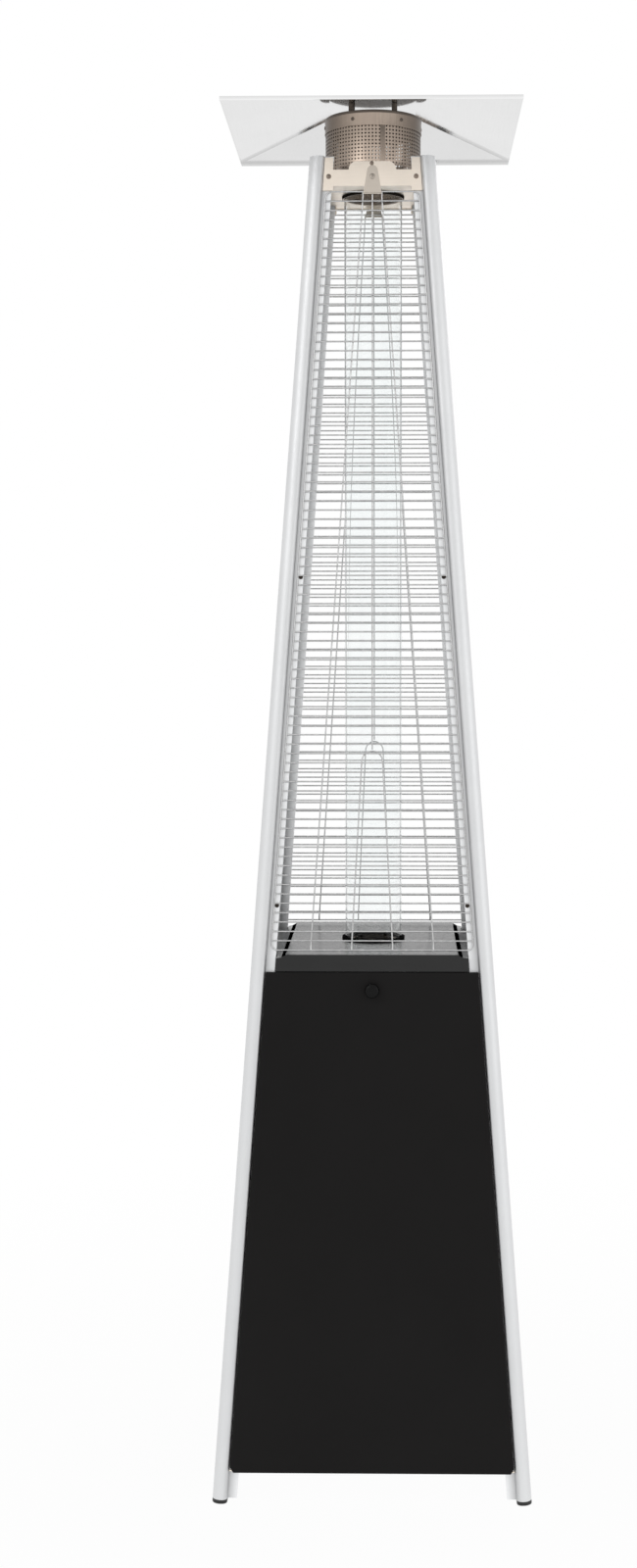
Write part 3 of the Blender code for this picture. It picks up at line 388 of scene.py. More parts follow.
def add_node(tree, kind, operation=None, **inputs):
    """A new node, each input set to a value or linked to another node's output."""
    node = tree.nodes.new(kind)
    if operation:
        node.operation = operation
    for name, value in inputs.items():
        socket = node.inputs[name.replace("_", " ")]
        if isinstance(value, bpy.types.NodeSocket):
            tree.links.new(value, socket)
        else:
            socket.default_value = value
    return node


def add_math(tree, operation, first, second):
    """The result of a sum or product of two outputs, kept between 0 and 1."""
    node = add_node(tree, "ShaderNodeMath", operation)
    node.use_clamp = True
    tree.links.new(first, node.inputs[0])
    tree.links.new(second, node.inputs[1])
    return node.outputs[0]


def map_range(tree, value, low, high, to_low, to_high):
    limits = {"From_Min": low, "From_Max": high, "To_Min": to_low, "To_Max": to_high}
    return add_node(tree, "ShaderNodeMapRange", Value=value, **limits).outputs["Result"]


# Finishes: each is worked out in the piece's own coordinates


class Finish:
    """A procedural material around one Principled shader."""

    def __init__(self, slot, colour, **values):
        self.slot = slot
        self.made = bpy.data.materials.new(f"finish_{slot}")
        self.made.use_nodes = True
        self.tree = self.made.node_tree
        self.links = self.tree.links
        self.shader = self.tree.nodes["Principled BSDF"]
        self.shader.inputs["Base Color"].default_value = (*colour, 1)
        for name, value in values.items():
            self.shader.inputs[name.replace("_", " ")].default_value = value
        self.place = self.tree.nodes.new("ShaderNodeTexCoord").outputs["Object"]
        tint_and_painted_shade = self.tree.nodes.new("ShaderNodeAttribute")
        tint_and_painted_shade.attribute_name = "tint_and_painted_shade"
        self.tone = map_range(self.tree, tint_and_painted_shade.outputs["Fac"], 0, 1, 1, 0)

    def stretched(self, stretch):
        return add_node(self.tree, "ShaderNodeMapping", Vector=self.place, Scale=stretch).outputs["Vector"]

    def grain(self, scale, stretch=(1, 1, 1), detail=4):
        place = self.stretched(stretch)
        values = {"Scale": scale, "Detail": detail, "Roughness": 0.55}
        return add_node(self.tree, "ShaderNodeTexNoise", Vector=place, **values).outputs["Fac"]

    def cells(self, scale):
        voronoi = add_node(self.tree, "ShaderNodeTexVoronoi", Vector=self.place, Scale=scale)
        split = add_node(self.tree, "ShaderNodeSeparateColor", Color=voronoi.outputs["Color"])
        return split.outputs["Red"]

    def sum(self, first, second, share=0.5):
        return add_node(self.tree, "ShaderNodeMix", Factor=share, A=first, B=second).outputs["Result"]

    def matte_where_darkened(self, metallic, gloss):
        """Where the tone darkens the piece, by heat tint or by painted shade, less of a metal and less
        glossy too.
        """
        for name, full in (("Metallic", metallic), ("Specular IOR Level", gloss)):
            self.links.new(map_range(self.tree, self.tone, 0.05, 0.5, 0, full), self.shader.inputs[name])
        return self

    def coloured(self, value, stops):
        ramp = add_node(self.tree, "ShaderNodeValToRGB", Fac=value)
        elements = ramp.color_ramp.elements
        while len(elements) < len(stops):
            elements.new(0.5)
        for element, (position, colour) in zip(elements, stops):
            element.position = position
            element.color = (*colour, 1)
        values = {"Vector": ramp.outputs["Color"], "Scale": self.tone}
        darker = add_node(self.tree, "ShaderNodeVectorMath", "SCALE", **values)
        self.links.new(darker.outputs["Vector"], self.shader.inputs["Base Color"])
        return self

    def roughened(self, value, low, high):
        rough = map_range(self.tree, value, 0.3, 0.7, low, high)
        self.links.new(rough, self.shader.inputs["Roughness"])
        return self

    def raised(self, value, distance, strength=1.0):
        bump = add_node(self.tree, "ShaderNodeBump", Height=value, Strength=strength, Distance=distance)
        self.links.new(bump.outputs["Normal"], self.shader.inputs["Normal"])
        return self


def grey(value, warmth=0.0):
    return (value * (1 + warmth), value, value * (1 - warmth))


def make_finishes():
    made = {}

    def new(slot, colour, **values):
        made[slot] = Finish(slot, colour, **values)
        return made[slot]

    legs = new("anodised_aluminium", grey(0.80), Metallic=1.0)
    drawn = legs.grain(900, (1, 1, 0.012), detail=3)
    cast = legs.sum(drawn, legs.grain(9))
    legs.coloured(cast, ((0.3, grey(0.90, -0.01)), (0.7, grey(0.97, -0.008))))
    legs.roughened(drawn, 0.46, 0.58).raised(drawn, 0.00002, 0.5)

    panel = new("black_panel_paint", grey(0.012), Specular_IOR_Level=0.12)
    powder = panel.grain(1500, detail=2)
    paint_cloud = panel.sum(powder, panel.grain(6))
    panel.coloured(paint_cloud, ((0.35, (0.0084, 0.0077, 0.0076)), (0.7, (0.0118, 0.0110, 0.0108))))
    panel.roughened(powder, 0.40, 0.52).raised(powder, 0.00006, 0.5)

    deck = new("deck_gloss_paint", grey(0.02), Specular_IOR_Level=0.29)
    peel = deck.grain(160, detail=1)
    deck.coloured(deck.grain(5), ((0.35, grey(0.019)), (0.7, grey(0.026))))
    deck.roughened(peel, 0.20, 0.26).raised(peel, 0.00002, 0.2).matte_where_darkened(0.0, 0.29)

    moulding = new("black_moulding", grey(0.012))
    leather = moulding.grain(700, detail=3)
    moulding.coloured(leather, ((0.35, grey(0.010)), (0.7, grey(0.018))))
    moulding.roughened(leather, 0.42, 0.6).raised(leather, 0.00008, 0.5)

    knob = new("gloss_knob", grey(0.006), Specular_IOR_Level=0.12)
    worn = knob.grain(60)
    knob.coloured(worn, ((0.35, grey(0.004)), (0.7, grey(0.007)))).roughened(worn, 0.16, 0.30)

    red = new("red_button", (0.5, 0.02, 0.015), Coat_Weight=0.4)
    spot = red.grain(80)
    red.coloured(spot, ((0.3, (0.42, 0.014, 0.010)), (0.7, (0.55, 0.026, 0.018))))
    red.roughened(spot, 0.22, 0.36)

    zinc = new("galvanised_sheet", grey(0.55), Metallic=0.9)
    spangle = zinc.cells(90)
    flecks = zinc.sum(spangle, zinc.grain(40), 0.35)
    zinc.coloured(flecks, ((0.1, grey(0.42)), (0.6, grey(0.60)), (0.9, grey(0.70))))
    zinc.roughened(spangle, 0.30, 0.48)

    steel = new("stainless_steel", grey(0.75), Metallic=1.0)
    brushed = steel.grain(1200, (0.03, 1, 1), detail=3)
    warm = steel.sum(brushed, steel.grain(18))
    steel.coloured(warm, ((0.3, (0.79, 0.71, 0.620)), (0.7, (0.90, 0.81, 0.705))))
    steel.roughened(brushed, 0.28, 0.40).raised(brushed, 0.00002, 0.4)

    tinted = new("heat_tinted_steel", grey(0.4), Metallic=1.0)
    cloud = tinted.sum(tinted.grain(14, (1, 1, 0.5)), tinted.grain(900, (1, 1, 0.03)), 0.3)
    tinted.coloured(cloud, (
        (0.30, (0.44, 0.360, 0.300)),
        (0.45, (0.58, 0.475, 0.395)),
        (0.60, (0.68, 0.555, 0.455)),
        (0.72, (0.60, 0.530, 0.470)),
    ))
    tinted.roughened(cloud, 0.24, 0.38).matte_where_darkened(1.0, 0.5)

    wire = new("guard_wire", grey(0.62), Metallic=1.0)
    plated = wire.grain(140)
    wire.coloured(plated, ((0.3, grey(0.49)), (0.7, grey(0.62)))).roughened(plated, 0.18, 0.30)

    mirror = new("mirror_sheet", grey(0.85), Metallic=1.0)
    rolled = mirror.grain(700, (1, 0.02, 1), detail=3)
    mirror.coloured(mirror.sum(rolled, mirror.grain(7)), ((0.3, grey(0.85)), (0.7, grey(0.92))))
    mirror.roughened(rolled, 0.05, 0.09).raised(mirror.grain(9, detail=1), 0.0006, 0.1)

    clear = {"Transmission_Weight": 1.0, "IOR": 1.3, "Roughness": 0.0, "Specular_IOR_Level": 0.2}
    glass = new("tube_glass", (0.97, 0.985, 0.985), **clear)
    glass.coloured(glass.grain(4), ((0.3, (0.955, 0.975, 0.975)), (0.7, (0.985, 0.99, 0.99))))

    brass = new("brass_fittings", (0.7, 0.48, 0.2), Metallic=1.0)
    turned = brass.grain(220, detail=3)
    brass.coloured(turned, ((0.3, (0.52, 0.36, 0.15)), (0.7, (0.76, 0.55, 0.25))))
    brass.roughened(turned, 0.22, 0.38)

    ceramic = new("white_ceramic", grey(0.8), Coat_Weight=0.4)
    speck = ceramic.grain(300)
    ceramic.coloured(speck, ((0.25, (0.66, 0.63, 0.56)), (0.5, (0.82, 0.80, 0.75))))
    ceramic.roughened(speck, 0.22, 0.34)

    gasket = new("tube_gasket", grey(0.2))
    fibre = gasket.grain(500, (1, 1, 0.2))
    gasket.coloured(fibre, ((0.3, grey(0.07)), (0.7, grey(0.16)))).roughened(fibre, 0.8, 0.95)
    gasket.raised(fibre, 0.0003, 0.6).matte_where_darkened(0.0, 0.4)

    rubber = new("wheel_rubber", grey(0.02))
    dust = rubber.grain(45)
    rubber.coloured(dust, ((0.35, grey(0.014)), (0.75, grey(0.032, 0.06)))).roughened(dust, 0.62, 0.85)
    rubber.raised(rubber.grain(900), 0.0001, 0.4)
    return made


FINISHES = make_finishes()


# Shapes


def linked(data, name="temporary"):
    """A new object in the scene."""
    item = bpy.data.objects.new(name, data)
    bpy.context.scene.collection.objects.link(item)
    return item


def mesh_from(edit, name):
    """The mesh that an edit holds, and the edit freed."""
    mesh = bpy.data.meshes.new(name)
    edit.to_mesh(mesh)
    edit.free()
    return mesh


def joined(meshes, name):
    edit = bmesh.new()
    for mesh in meshes:
        edit.from_mesh(mesh)
    return mesh_from(edit, name)


def around(radius, angle, height):
    """A point on a circle about the upright axis."""
    return radius * math.cos(angle), radius * math.sin(angle), height


def evaluated(item):
    """The mesh that an object shows, and the object removed."""
    bpy.context.view_layer.update()
    graph = bpy.context.evaluated_depsgraph_get()
    mesh = bpy.data.meshes.new_from_object(item.evaluated_get(graph), depsgraph=graph)
    bpy.data.objects.remove(item)
    edit = bmesh.new()
    edit.from_mesh(mesh)
    bmesh.ops.remove_doubles(edit, verts=edit.verts, dist=WELD)
    bmesh.ops.recalc_face_normals(edit, faces=edit.faces)
    edit.to_mesh(mesh)
    edit.free()
    return mesh


def plate(loops, thickness, edge=SOFT_EDGE):
    """A flat plate with softened edges, its first loop the outline and the others holes."""
    curve = bpy.data.curves.new("plate", "CURVE")
    curve.dimensions = "2D"
    curve.fill_mode = "BOTH"
    curve.extrude = thickness / 2 - edge
    curve.bevel_depth = edge
    curve.bevel_resolution = 1
    curve.offset = -edge
    for loop in loops:
        spline = curve.splines.new("POLY")
        spline.points.add(len(loop) - 1)
        for point, (x, y) in zip(spline.points, loop):
            point.co = (x, y, 0, 1)
        spline.use_cyclic_u = True
    return evaluated(linked(curve))


def rod(points, radius, resolution=2, closed=False):
    """A round wire along the points."""
    curve = bpy.data.curves.new("rod", "CURVE")
    curve.dimensions = "3D"
    curve.bevel_depth = radius
    curve.bevel_resolution = resolution
    curve.use_fill_caps = True
    spline = curve.splines.new("POLY")
    spline.points.add(len(points) - 1)
    for point, place in zip(spline.points, points):
        point.co = (*place, 1)
    spline.use_cyclic_u = closed
    return evaluated(linked(curve))


def arc(centre, radius, start, end, steps):
    """Points along an arc, its angles in quarter turns."""
    angles = [(start + (end - start) * i / steps) * QUARTER for i in range(steps + 1)]
    return [(centre[0] + radius * math.cos(a), centre[1] + radius * math.sin(a)) for a in angles]


def rounded(points, radius, steps=4, closed=True):
    """An outline with its corners rounded, as far as its sides allow."""
    corners = [Vector(point) for point in points]
    count = len(corners)
    result = []
    for i, corner in enumerate(corners):
        if not closed and i in (0, count - 1):
            result.append(tuple(corner))
            continue
        before, after = corners[i - 1] - corner, corners[(i + 1) % count] - corner
        near = min(before.length, after.length) * CORNER_SIDE_SHARE
        angle = before.angle(after)
        reach = min(radius / math.tan(angle / 2), near) if angle < NEARLY_STRAIGHT else 0
        if reach <= 0:
            result.append(tuple(corner))
            continue
        first, last = corner + before.normalized() * reach, corner + after.normalized() * reach
        for step in range(steps + 1):
            t = step / steps
            result.append(tuple(first * (1 - t) ** 2 + corner * 2 * t * (1 - t) + last * t * t))
    return result


def lathe(profile, steps=96, closed=True):
    """A turned body from (radius, height) points. A closed profile makes a ring."""
    edit = bmesh.new()
    rings = []
    for radius, height in profile:
        if radius == 0:
            rings.append([edit.verts.new((0, 0, height))] * steps)
            continue
        places = [around(radius, FULL_TURN * i / steps, height) for i in range(steps)]
        rings.append([edit.verts.new(place) for place in places])
    pairs = list(zip(rings, rings[1:] + rings[:1])) if closed else list(zip(rings, rings[1:]))
    for first, second in pairs:
        for i in range(steps):
            j = (i + 1) % steps
            corners = []
            for vert in (first[i], first[j], second[j], second[i]):
                if vert not in corners:
                    corners.append(vert)
            if len(corners) > 2:
                edit.faces.new(corners)
    bmesh.ops.recalc_face_normals(edit, faces=edit.faces)
    return mesh_from(edit, "lathe")


def bridge(edit, first, second):
    """Quads between two rings of points."""
    for i in range(len(first)):
        j = (i + 1) % len(first)
        edit.faces.new((first[i], first[j], second[j], second[i]))


def drum(radius, start, end, steps):
    """A solid turned body with flat ends."""
    return lathe([(0, start), (radius, start), (radius, end), (0, end)], steps, closed=False)


def box_mesh(low, high, edge=BLOCK_EDGE):
    """A block between two corners, its edges rounded."""
    edit = bmesh.new()
    bmesh.ops.create_cube(edit, size=1)
    size = Vector(high) - Vector(low)
    bmesh.ops.scale(edit, vec=size, verts=edit.verts)
    bmesh.ops.translate(edit, vec=Vector(low) + size / 2, verts=edit.verts)
    bmesh.ops.bevel(edit, geom=edit.edges[:], offset=edge, segments=3, profile=0.5, affect="EDGES")
    return mesh_from(edit, "box")


def sheet_mesh(edit, sheet, fold=FOLD_ROUND, segments=3):
    """A folded sheet from an open surface: its folds rounded, and walls given to its inner side."""
    item = linked(mesh_from(edit, "sheet"))
    bevel = item.modifiers.new("Folds", "BEVEL")
    bevel.width = fold
    bevel.segments = segments
    bevel.limit_method = "ANGLE"
    bevel.angle_limit = FOLD_ANGLE
    wall = item.modifiers.new("Wall", "SOLIDIFY")
    wall.thickness = sheet
    wall.offset = -1
    wall.use_even_offset = True
    return evaluated(item)


def cut_from(mesh, cutters):
    """The mesh with each cutter taken out of it."""
    item = linked(mesh)
    tools = []
    for cutter in cutters:
        tool = linked(cutter)
        tools.append(tool)
        modifier = item.modifiers.new("Cut", "BOOLEAN")
        modifier.operation = "DIFFERENCE"
        modifier.solver = "EXACT"
        modifier.object = tool
    result = evaluated(item)
    for tool in tools:
        bpy.data.objects.remove(tool)
    return result


def facing_front(x, y, z):
    return shift(x, y, z) @ Matrix.Rotation(QUARTER, 4, "X")


def moved(mesh, matrix):
    copy = mesh.copy()
    copy.transform(matrix)
    return copy


def screw_head(radius, rise):
    """A pan head with a cross recess, its underside at zero."""
    floor = rise * SCREW_RIM_SHARE
    profile = [(0, rise)]
    for quarter_share in (0.3, 0.5, 0.7, 0.9):
        angle = quarter_share * QUARTER
        height = rise * (SCREW_RIM_SHARE + (1 - SCREW_RIM_SHARE) * math.cos(angle))
        profile.append((radius * math.sin(angle), height))
    profile += [(radius, floor), (radius, 0), (0, 0)]
    arm, thin = radius * SCREW_ARM_SHARE, radius * SCREW_SLOT_SHARE
    cutters = [
        box_mesh((-arm, -thin, floor), (arm, thin, 2 * rise), thin / 4),
        box_mesh((-thin, -arm, floor), (thin, arm, 2 * rise), thin / 4),
    ]
    return cut_from(lathe(profile, 24, closed=False), cutters)


def paint(mesh, tone):
    """Give each point its share of the finish's colour, on some pieces painted shade: one number, or a
    function of the point.
    """
    tint_and_painted_shade = [1 - (tone(vert.co) if callable(tone) else tone) for vert in mesh.vertices]
    mesh.attributes.new("tint_and_painted_shade", "FLOAT", "POINT").data.foreach_set("value", tint_and_painted_shade)


def piece(name, meshes, slot, stands_for=(), body="heater", angle=35, tone=1.0):
    """One visible piece from meshes in the heater's frame, riding on a body."""
    data = joined(meshes, name)
    paint(data, tone)
    data.transform(HOME)
    data.shade_smooth()
    data.set_sharp_from_angle(angle=math.radians(angle))
    data.materials.clear()
    data.materials.append(FINISHES[slot].made)
    made = linked(data, name)
    weighted = made.modifiers.new("Even shading", "WEIGHTED_NORMAL")
    weighted.keep_sharp = True
    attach(made, body)
    if stands_for:
        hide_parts(*stands_for)
    return made


# Legs and feet


def leg_front(inset):
    edge_middle = LEG_FACE - LEG_EDGE_ROUND
    edge_radius = LEG_EDGE_ROUND - inset
    return [
        *arc((edge_middle, LEG_EDGE_ROUND), edge_radius, 0, -1, LEG_STEPS // 2),
        *arc((LEG_ROUND, LEG_ROUND), LEG_ROUND - inset, -1, -2, LEG_STEPS),
        *arc((LEG_EDGE_ROUND, edge_middle), edge_radius, 2, 1, LEG_STEPS // 2),
    ]


def leg_outline():
    step, back, end = FLANGE_STEP, FLANGE_STEP + FLANGE_SHEET, LEG_FACE + FLANGE_WIDTH
    lip = FLANGE_SHEET * FLANGE_LIP_SHARE
    near = [(end - lip, back), (end, back - lip), (end, step + lip), (end - lip, step)]
    far = [(y, x) for x, y in reversed(near)]
    inner = [(back, LEG_FACE), (LEG_FACE, LEG_FACE), (LEG_FACE, back)]
    return [*near, (LEG_FACE, step), *leg_front(0), (step, LEG_FACE), *far, *inner]


def leaning(mesh, low, height):
    mesh.transform(shift(0, 0, low + height / 2))
    shear = Matrix(((1, 0, TAPER, -half(0)), (0, 1, TAPER, -half(0)), (0, 0, 1, 0), (0, 0, 0, 1)))
    mesh.transform(shear)
    return mesh


def make_legs():
    low = FOOT_HEIGHT + GAP
    length = LEG_TOP - low
    inside = [*leg_front(LEG_WALL), (LEG_FACE - LEG_WALL, LEG_FACE - LEG_WALL)]
    leg = leaning(plate([leg_outline(), inside], length, LEG_EDGE), low, length)
    outline = [*leg_front(0), (LEG_FACE, LEG_FACE)]
    pad = leaning(plate([outline], FOOT_HEIGHT, FOOT_EDGE), 0, FOOT_HEIGHT)

    def tone(point):
        """Painted shade: darker down the inner rounding of each face, and a little on the flanges."""
        free = half(point.z)
        x, y = (free - abs(c) for c in (point.x, point.y))
        near, along = min(x, y), max(x, y)
        if near > FLANGE_STEP + FLANGE_SHEET + LEG_MARGIN:
            return 1.0
        if along > LEG_FACE + LEG_MARGIN:
            return FLANGE_PAINTED_SHADE_TONE
        depth = (along - LEG_FACE + LEG_EDGE_ROUND) / LEG_EDGE_ROUND
        return LEG_ROUND_PAINTED_SHADE_TONE - LEG_ROUND_PAINTED_SHADE_LOSS * min(max(depth, 0), 1)

    for quarter, corner in enumerate(("front_left", "front_right", "rear_right", "rear_left")):
        turn = spin(quarter * QUARTER)
        leg_node, foot_node = f"leg_{corner}", f"foot_cap_{corner}"
        piece(f"{corner}_leg", [moved(leg, turn)], "anodised_aluminium", [leg_node], tone=tone)
        piece(f"{corner}_foot", [moved(pad, turn)], "black_moulding", [foot_node])


# Cabinet


def panel_corners(low, top):
    cut_top = low + CORNER_CUT_HEIGHT
    right = [
        (sheet_edge(low) - CORNER_CUT_WIDTH, slope(low)),
        (sheet_edge(cut_top), slope(cut_top)),
        (sheet_edge(top), slope(top)),
    ]
    return right + [(-x, y) for x, y in reversed(right)]


def panel_mesh(side, fold):
    edit = bmesh.new()
    corners = panel_corners(PANEL_LOW, PANEL_TOP)
    front = [edit.verts.new((x, y, -PANEL_INSET)) for x, y in corners]
    back = [edit.verts.new((x, y, -PANEL_INSET - fold)) for x, y in corners]
    edit.faces.new(front)
    bridge(edit, back, front)
    return moved(sheet_mesh(edit, PANEL_SHEET), face_matrix(side))


def make_panels():
    piece("door_skin", [panel_mesh(FRONT, DOOR_FOLD)], "black_panel_paint", ["front_panel"], "door")
    for name, side in (("left", LEFT), ("right", RIGHT)):
        skin = panel_mesh(side, PANEL_FOLD)
        piece(f"{name}_side_skin", [skin], "black_panel_paint", [f"{name}_panel"])
    slots = []
    for i in range(VENT_COUNT):
        middle = slope(VENT_LOW + i * VENT_PITCH)
        end = VENT_HEIGHT / 2
        straight = VENT_WIDTH / 2 - end
        loop = arc((straight, middle), end, -1, 1, 10) + arc((-straight, middle), end, 1, 3, 10)
        slots.append(moved(plate([loop], VENT_CUTTER, CUTTER_EDGE), face_matrix(REAR)))
    rear = cut_from(panel_mesh(REAR, PANEL_FOLD), slots)
    piece("rear_skin", [rear], "black_panel_paint", ["rear_panel"])

    neck, top = KNOB_NECK, KNOB_NECK + KNOB_HEAD
    head = KNOB_NECK + KNOB_HEAD * KNOB_COLLAR_SHARE
    profile = [
        (0, top - KNOB_STEP),
        (KNOB_RADIUS * 0.42, top - KNOB_DISH),
        (KNOB_RADIUS * 0.62, top),
        (KNOB_RADIUS * 0.78, top - KNOB_STEP),
        (KNOB_RADIUS * 0.90, top - 3 * KNOB_STEP),
        (KNOB_RADIUS * 0.97, top - 6 * KNOB_STEP),
        (KNOB_RADIUS, top - 10 * KNOB_STEP),
        (KNOB_RADIUS * 0.95, head + 2 * KNOB_STEP),
        (KNOB_RADIUS * 0.80, neck),
        (KNOB_NECK_RADIUS, neck - 2 * KNOB_STEP),
        (KNOB_NECK_RADIUS * 0.92, 5 * KNOB_STEP),
        (KNOB_NECK_RADIUS * 1.1, 0),
        (0, 0),
    ]
    seat = face_matrix(FRONT) @ shift(0, slope(KNOB_HEIGHT), GAP - PANEL_INSET)
    pull = moved(lathe(profile, 64, closed=False), seat)
    piece("door_pull", [pull], "gloss_knob", ["door_knob"], "door")


def make_deck():
    lip_low = PANEL_TOP + DECK_SEAM
    edit = bmesh.new()

    def corner(column, row, lip=False):
        drop = {1: 0, 2: DECK_STEP * DECK_BEND_SHARE}.get(abs(column), DECK_STEP)
        height = lip_low if lip else DECK_TOP - drop
        bend = DECK_PLATFORM + DECK_BEND
        lines = {1: DECK_PLATFORM, 2: bend, 3: flange_edge(height) - GAP, 4: half(height) - PANEL_INSET}
        x, y = (math.copysign(lines[abs(line)], line) for line in (column, row))
        return edit.verts.new((x, y, height))

    columns, rows = (-4, -3, -2, -1, 1, 2, 3, 4), (-4, -3, 3, 4)
    places = [(i, j) for i in columns for j in rows if abs(i) < 4 or abs(j) < 4]
    top = {place: corner(*place) for place in places}
    for left, right in zip(columns, columns[1:]):
        for near, far in zip(rows, rows[1:]):
            loop = [(left, near), (right, near), (right, far), (left, far)]
            if all(place in top for place in loop):
                edit.faces.new([top[place] for place in loop])
    place_of = {vert: place for place, vert in top.items()}
    low = {}
    for edge in [edge for edge in edit.edges if edge.is_boundary]:
        loop = edge.link_loops[0]
        start, end = loop.vert, loop.link_loop_next.vert
        for vert in (start, end):
            if vert not in low:
                low[vert] = corner(*place_of[vert], lip=True)
        edit.faces.new((start, low[start], low[end], end))
    mesh = sheet_mesh(edit, DECK_SHEET, DECK_FOLD)
    hole = drum(BURNER_HOLE_RADIUS, DECK_TOP - HOLE_CUTTER, DECK_TOP + HOLE_CUTTER, 96)

    def tone(point):
        """Painted reflection: black down the steep bends, standing in for the deck's own dark parts that
        they mirror.
        """
        down = abs(point.x) - DECK_PLATFORM
        return 0.0 if DECK_BEND_MARGIN < down < DECK_BEND - DECK_BEND_MARGIN else 1.0

    deck = cut_from(mesh, [hole])
    # The deck's steep bends carry a painted reflection, black and matte
    piece("deck_plate", [deck], "deck_gloss_paint", ["deck"], angle=28, tone=tone)


# Burner and glass


def make_tube():
    seat_low = DECK_TOP + GAP
    inner = TUBE_RADIUS + GAP
    ledge = seat_low + SEAT_FLOOR
    seat = rounded([
        (inner, seat_low + SEAT_HEIGHT),
        (SEAT_RADIUS, seat_low + SEAT_HEIGHT),
        (SEAT_RADIUS, seat_low),
        (SEAT_BORE, seat_low),
        (SEAT_BORE, ledge),
        (inner, ledge),
    ], SEAT_ROUND)
    piece("tube_seal", [lathe(seat)], "tube_gasket", ["tube_seat"], tone=0.06)
    low = ledge + GAP
    bore = TUBE_RADIUS - TUBE_WALL
    section = [(bore, TUBE_TOP), (TUBE_RADIUS, TUBE_TOP), (TUBE_RADIUS, low), (bore, low)]
    wall = rounded(section, TUBE_WALL * TUBE_LIP_SHARE)
    piece("flame_tube", [lathe(wall, 128)], "tube_glass", ["glass_tube"])
    flange_low = BRACKET_LEVEL + GAP
    flange_top = flange_low + RING_FLANGE_HEIGHT
    sleeve = inner + RING_SLEEVE
    sleeve_low = BRACKET_LEVEL - BRACKET_SHEET - RING_DROP
    ring = rounded([
        (inner, flange_top),
        (RING_FLANGE_RADIUS, flange_top),
        (RING_FLANGE_RADIUS, flange_low),
        (sleeve, flange_low),
        (sleeve, sleeve_low),
        (inner, sleeve_low),
    ], RING_ROUND)

    def tone(point):
        in_bore = math.hypot(point.x, point.y) < inner + RING_SLEEVE / 2
        return COLLAR_BORE_TONE if in_bore else COLLAR_TONE

    piece("tube_collar", [lathe(ring)], "heat_tinted_steel", ["tube_top_ring"], tone=tone)


def walled(edit, sheet):
    item = linked(mesh_from(edit, "walled"))
    wall = item.modifiers.new("Wall", "SOLIDIFY")
    wall.thickness = sheet
    wall.offset = -1
    return evaluated(item)


def perforated(start, end, columns, rows, hole_share, sheet):
    """A turned sheet of cells, each with a round hole, between two (radius, height) rims."""
    (near, low), (far, high) = start, end
    edit = bmesh.new()
    for column in range(columns):
        for row in range(rows):
            outer, inner = [], []
            for step in range(8):
                angle = step * QUARTER / 2
                x, y = math.cos(angle), math.sin(angle)
                reach = max(abs(x), abs(y))
                for share, points in ((0.5 / reach, outer), (hole_share, inner)):
                    u = (column + 0.5 + x * share) / columns
                    v = (row + 0.5 + y * share) / rows
                    place = around(near + (far - near) * v, FULL_TURN * u, low + (high - low) * v)
                    points.append(edit.verts.new(place))
            bridge(edit, outer, inner)
    bmesh.ops.remove_doubles(edit, verts=edit.verts, dist=CELL_WELD)
    return walled(edit, sheet)


def make_burner():
    outer = CUP_RADIUS - CUP_WALL - GAP
    low = CUP_FLOOR + GAP
    port_low = HOOD_SHOULDER - PORT_BAND
    shoulder, crown = (outer, HOOD_SHOULDER), (HOOD_CROWN_RADIUS, HOOD_TOP)
    ported = [
        perforated(shoulder, crown, PORT_COLUMNS, PORT_ROWS, 0.30, HOOD_WALL),
        perforated((outer, port_low), shoulder, PORT_COLUMNS, PORT_ROWS, 0.27, HOOD_WALL),
        perforated(crown, (HOOD_CENTRE_RADIUS, HOOD_TOP), PORT_COLUMNS // 2, PORT_ROWS, 0.22, HOOD_WALL),
    ]
    bore = outer - HOOD_WALL
    plain = lathe([(outer, port_low), (outer, low), (bore, low), (bore, port_low)])
    middle = drum(HOOD_BUTTON_RADIUS, HOOD_TOP, HOOD_TOP - HOOD_WALL, 24)
    hood = [*ported, plain, middle]
    piece("burner_head", hood, "heat_tinted_steel", ["burner_hood"], tone=0.03)


# Head


def rounded_plus(reach, arm, radius):
    points = []
    for quarter in range(4):
        turn = Matrix.Rotation(quarter * QUARTER, 2)
        points += [tuple(turn @ Vector(p)) for p in ((-arm, -reach), (arm, -reach), (arm, -arm))]
    return rounded(points, radius)


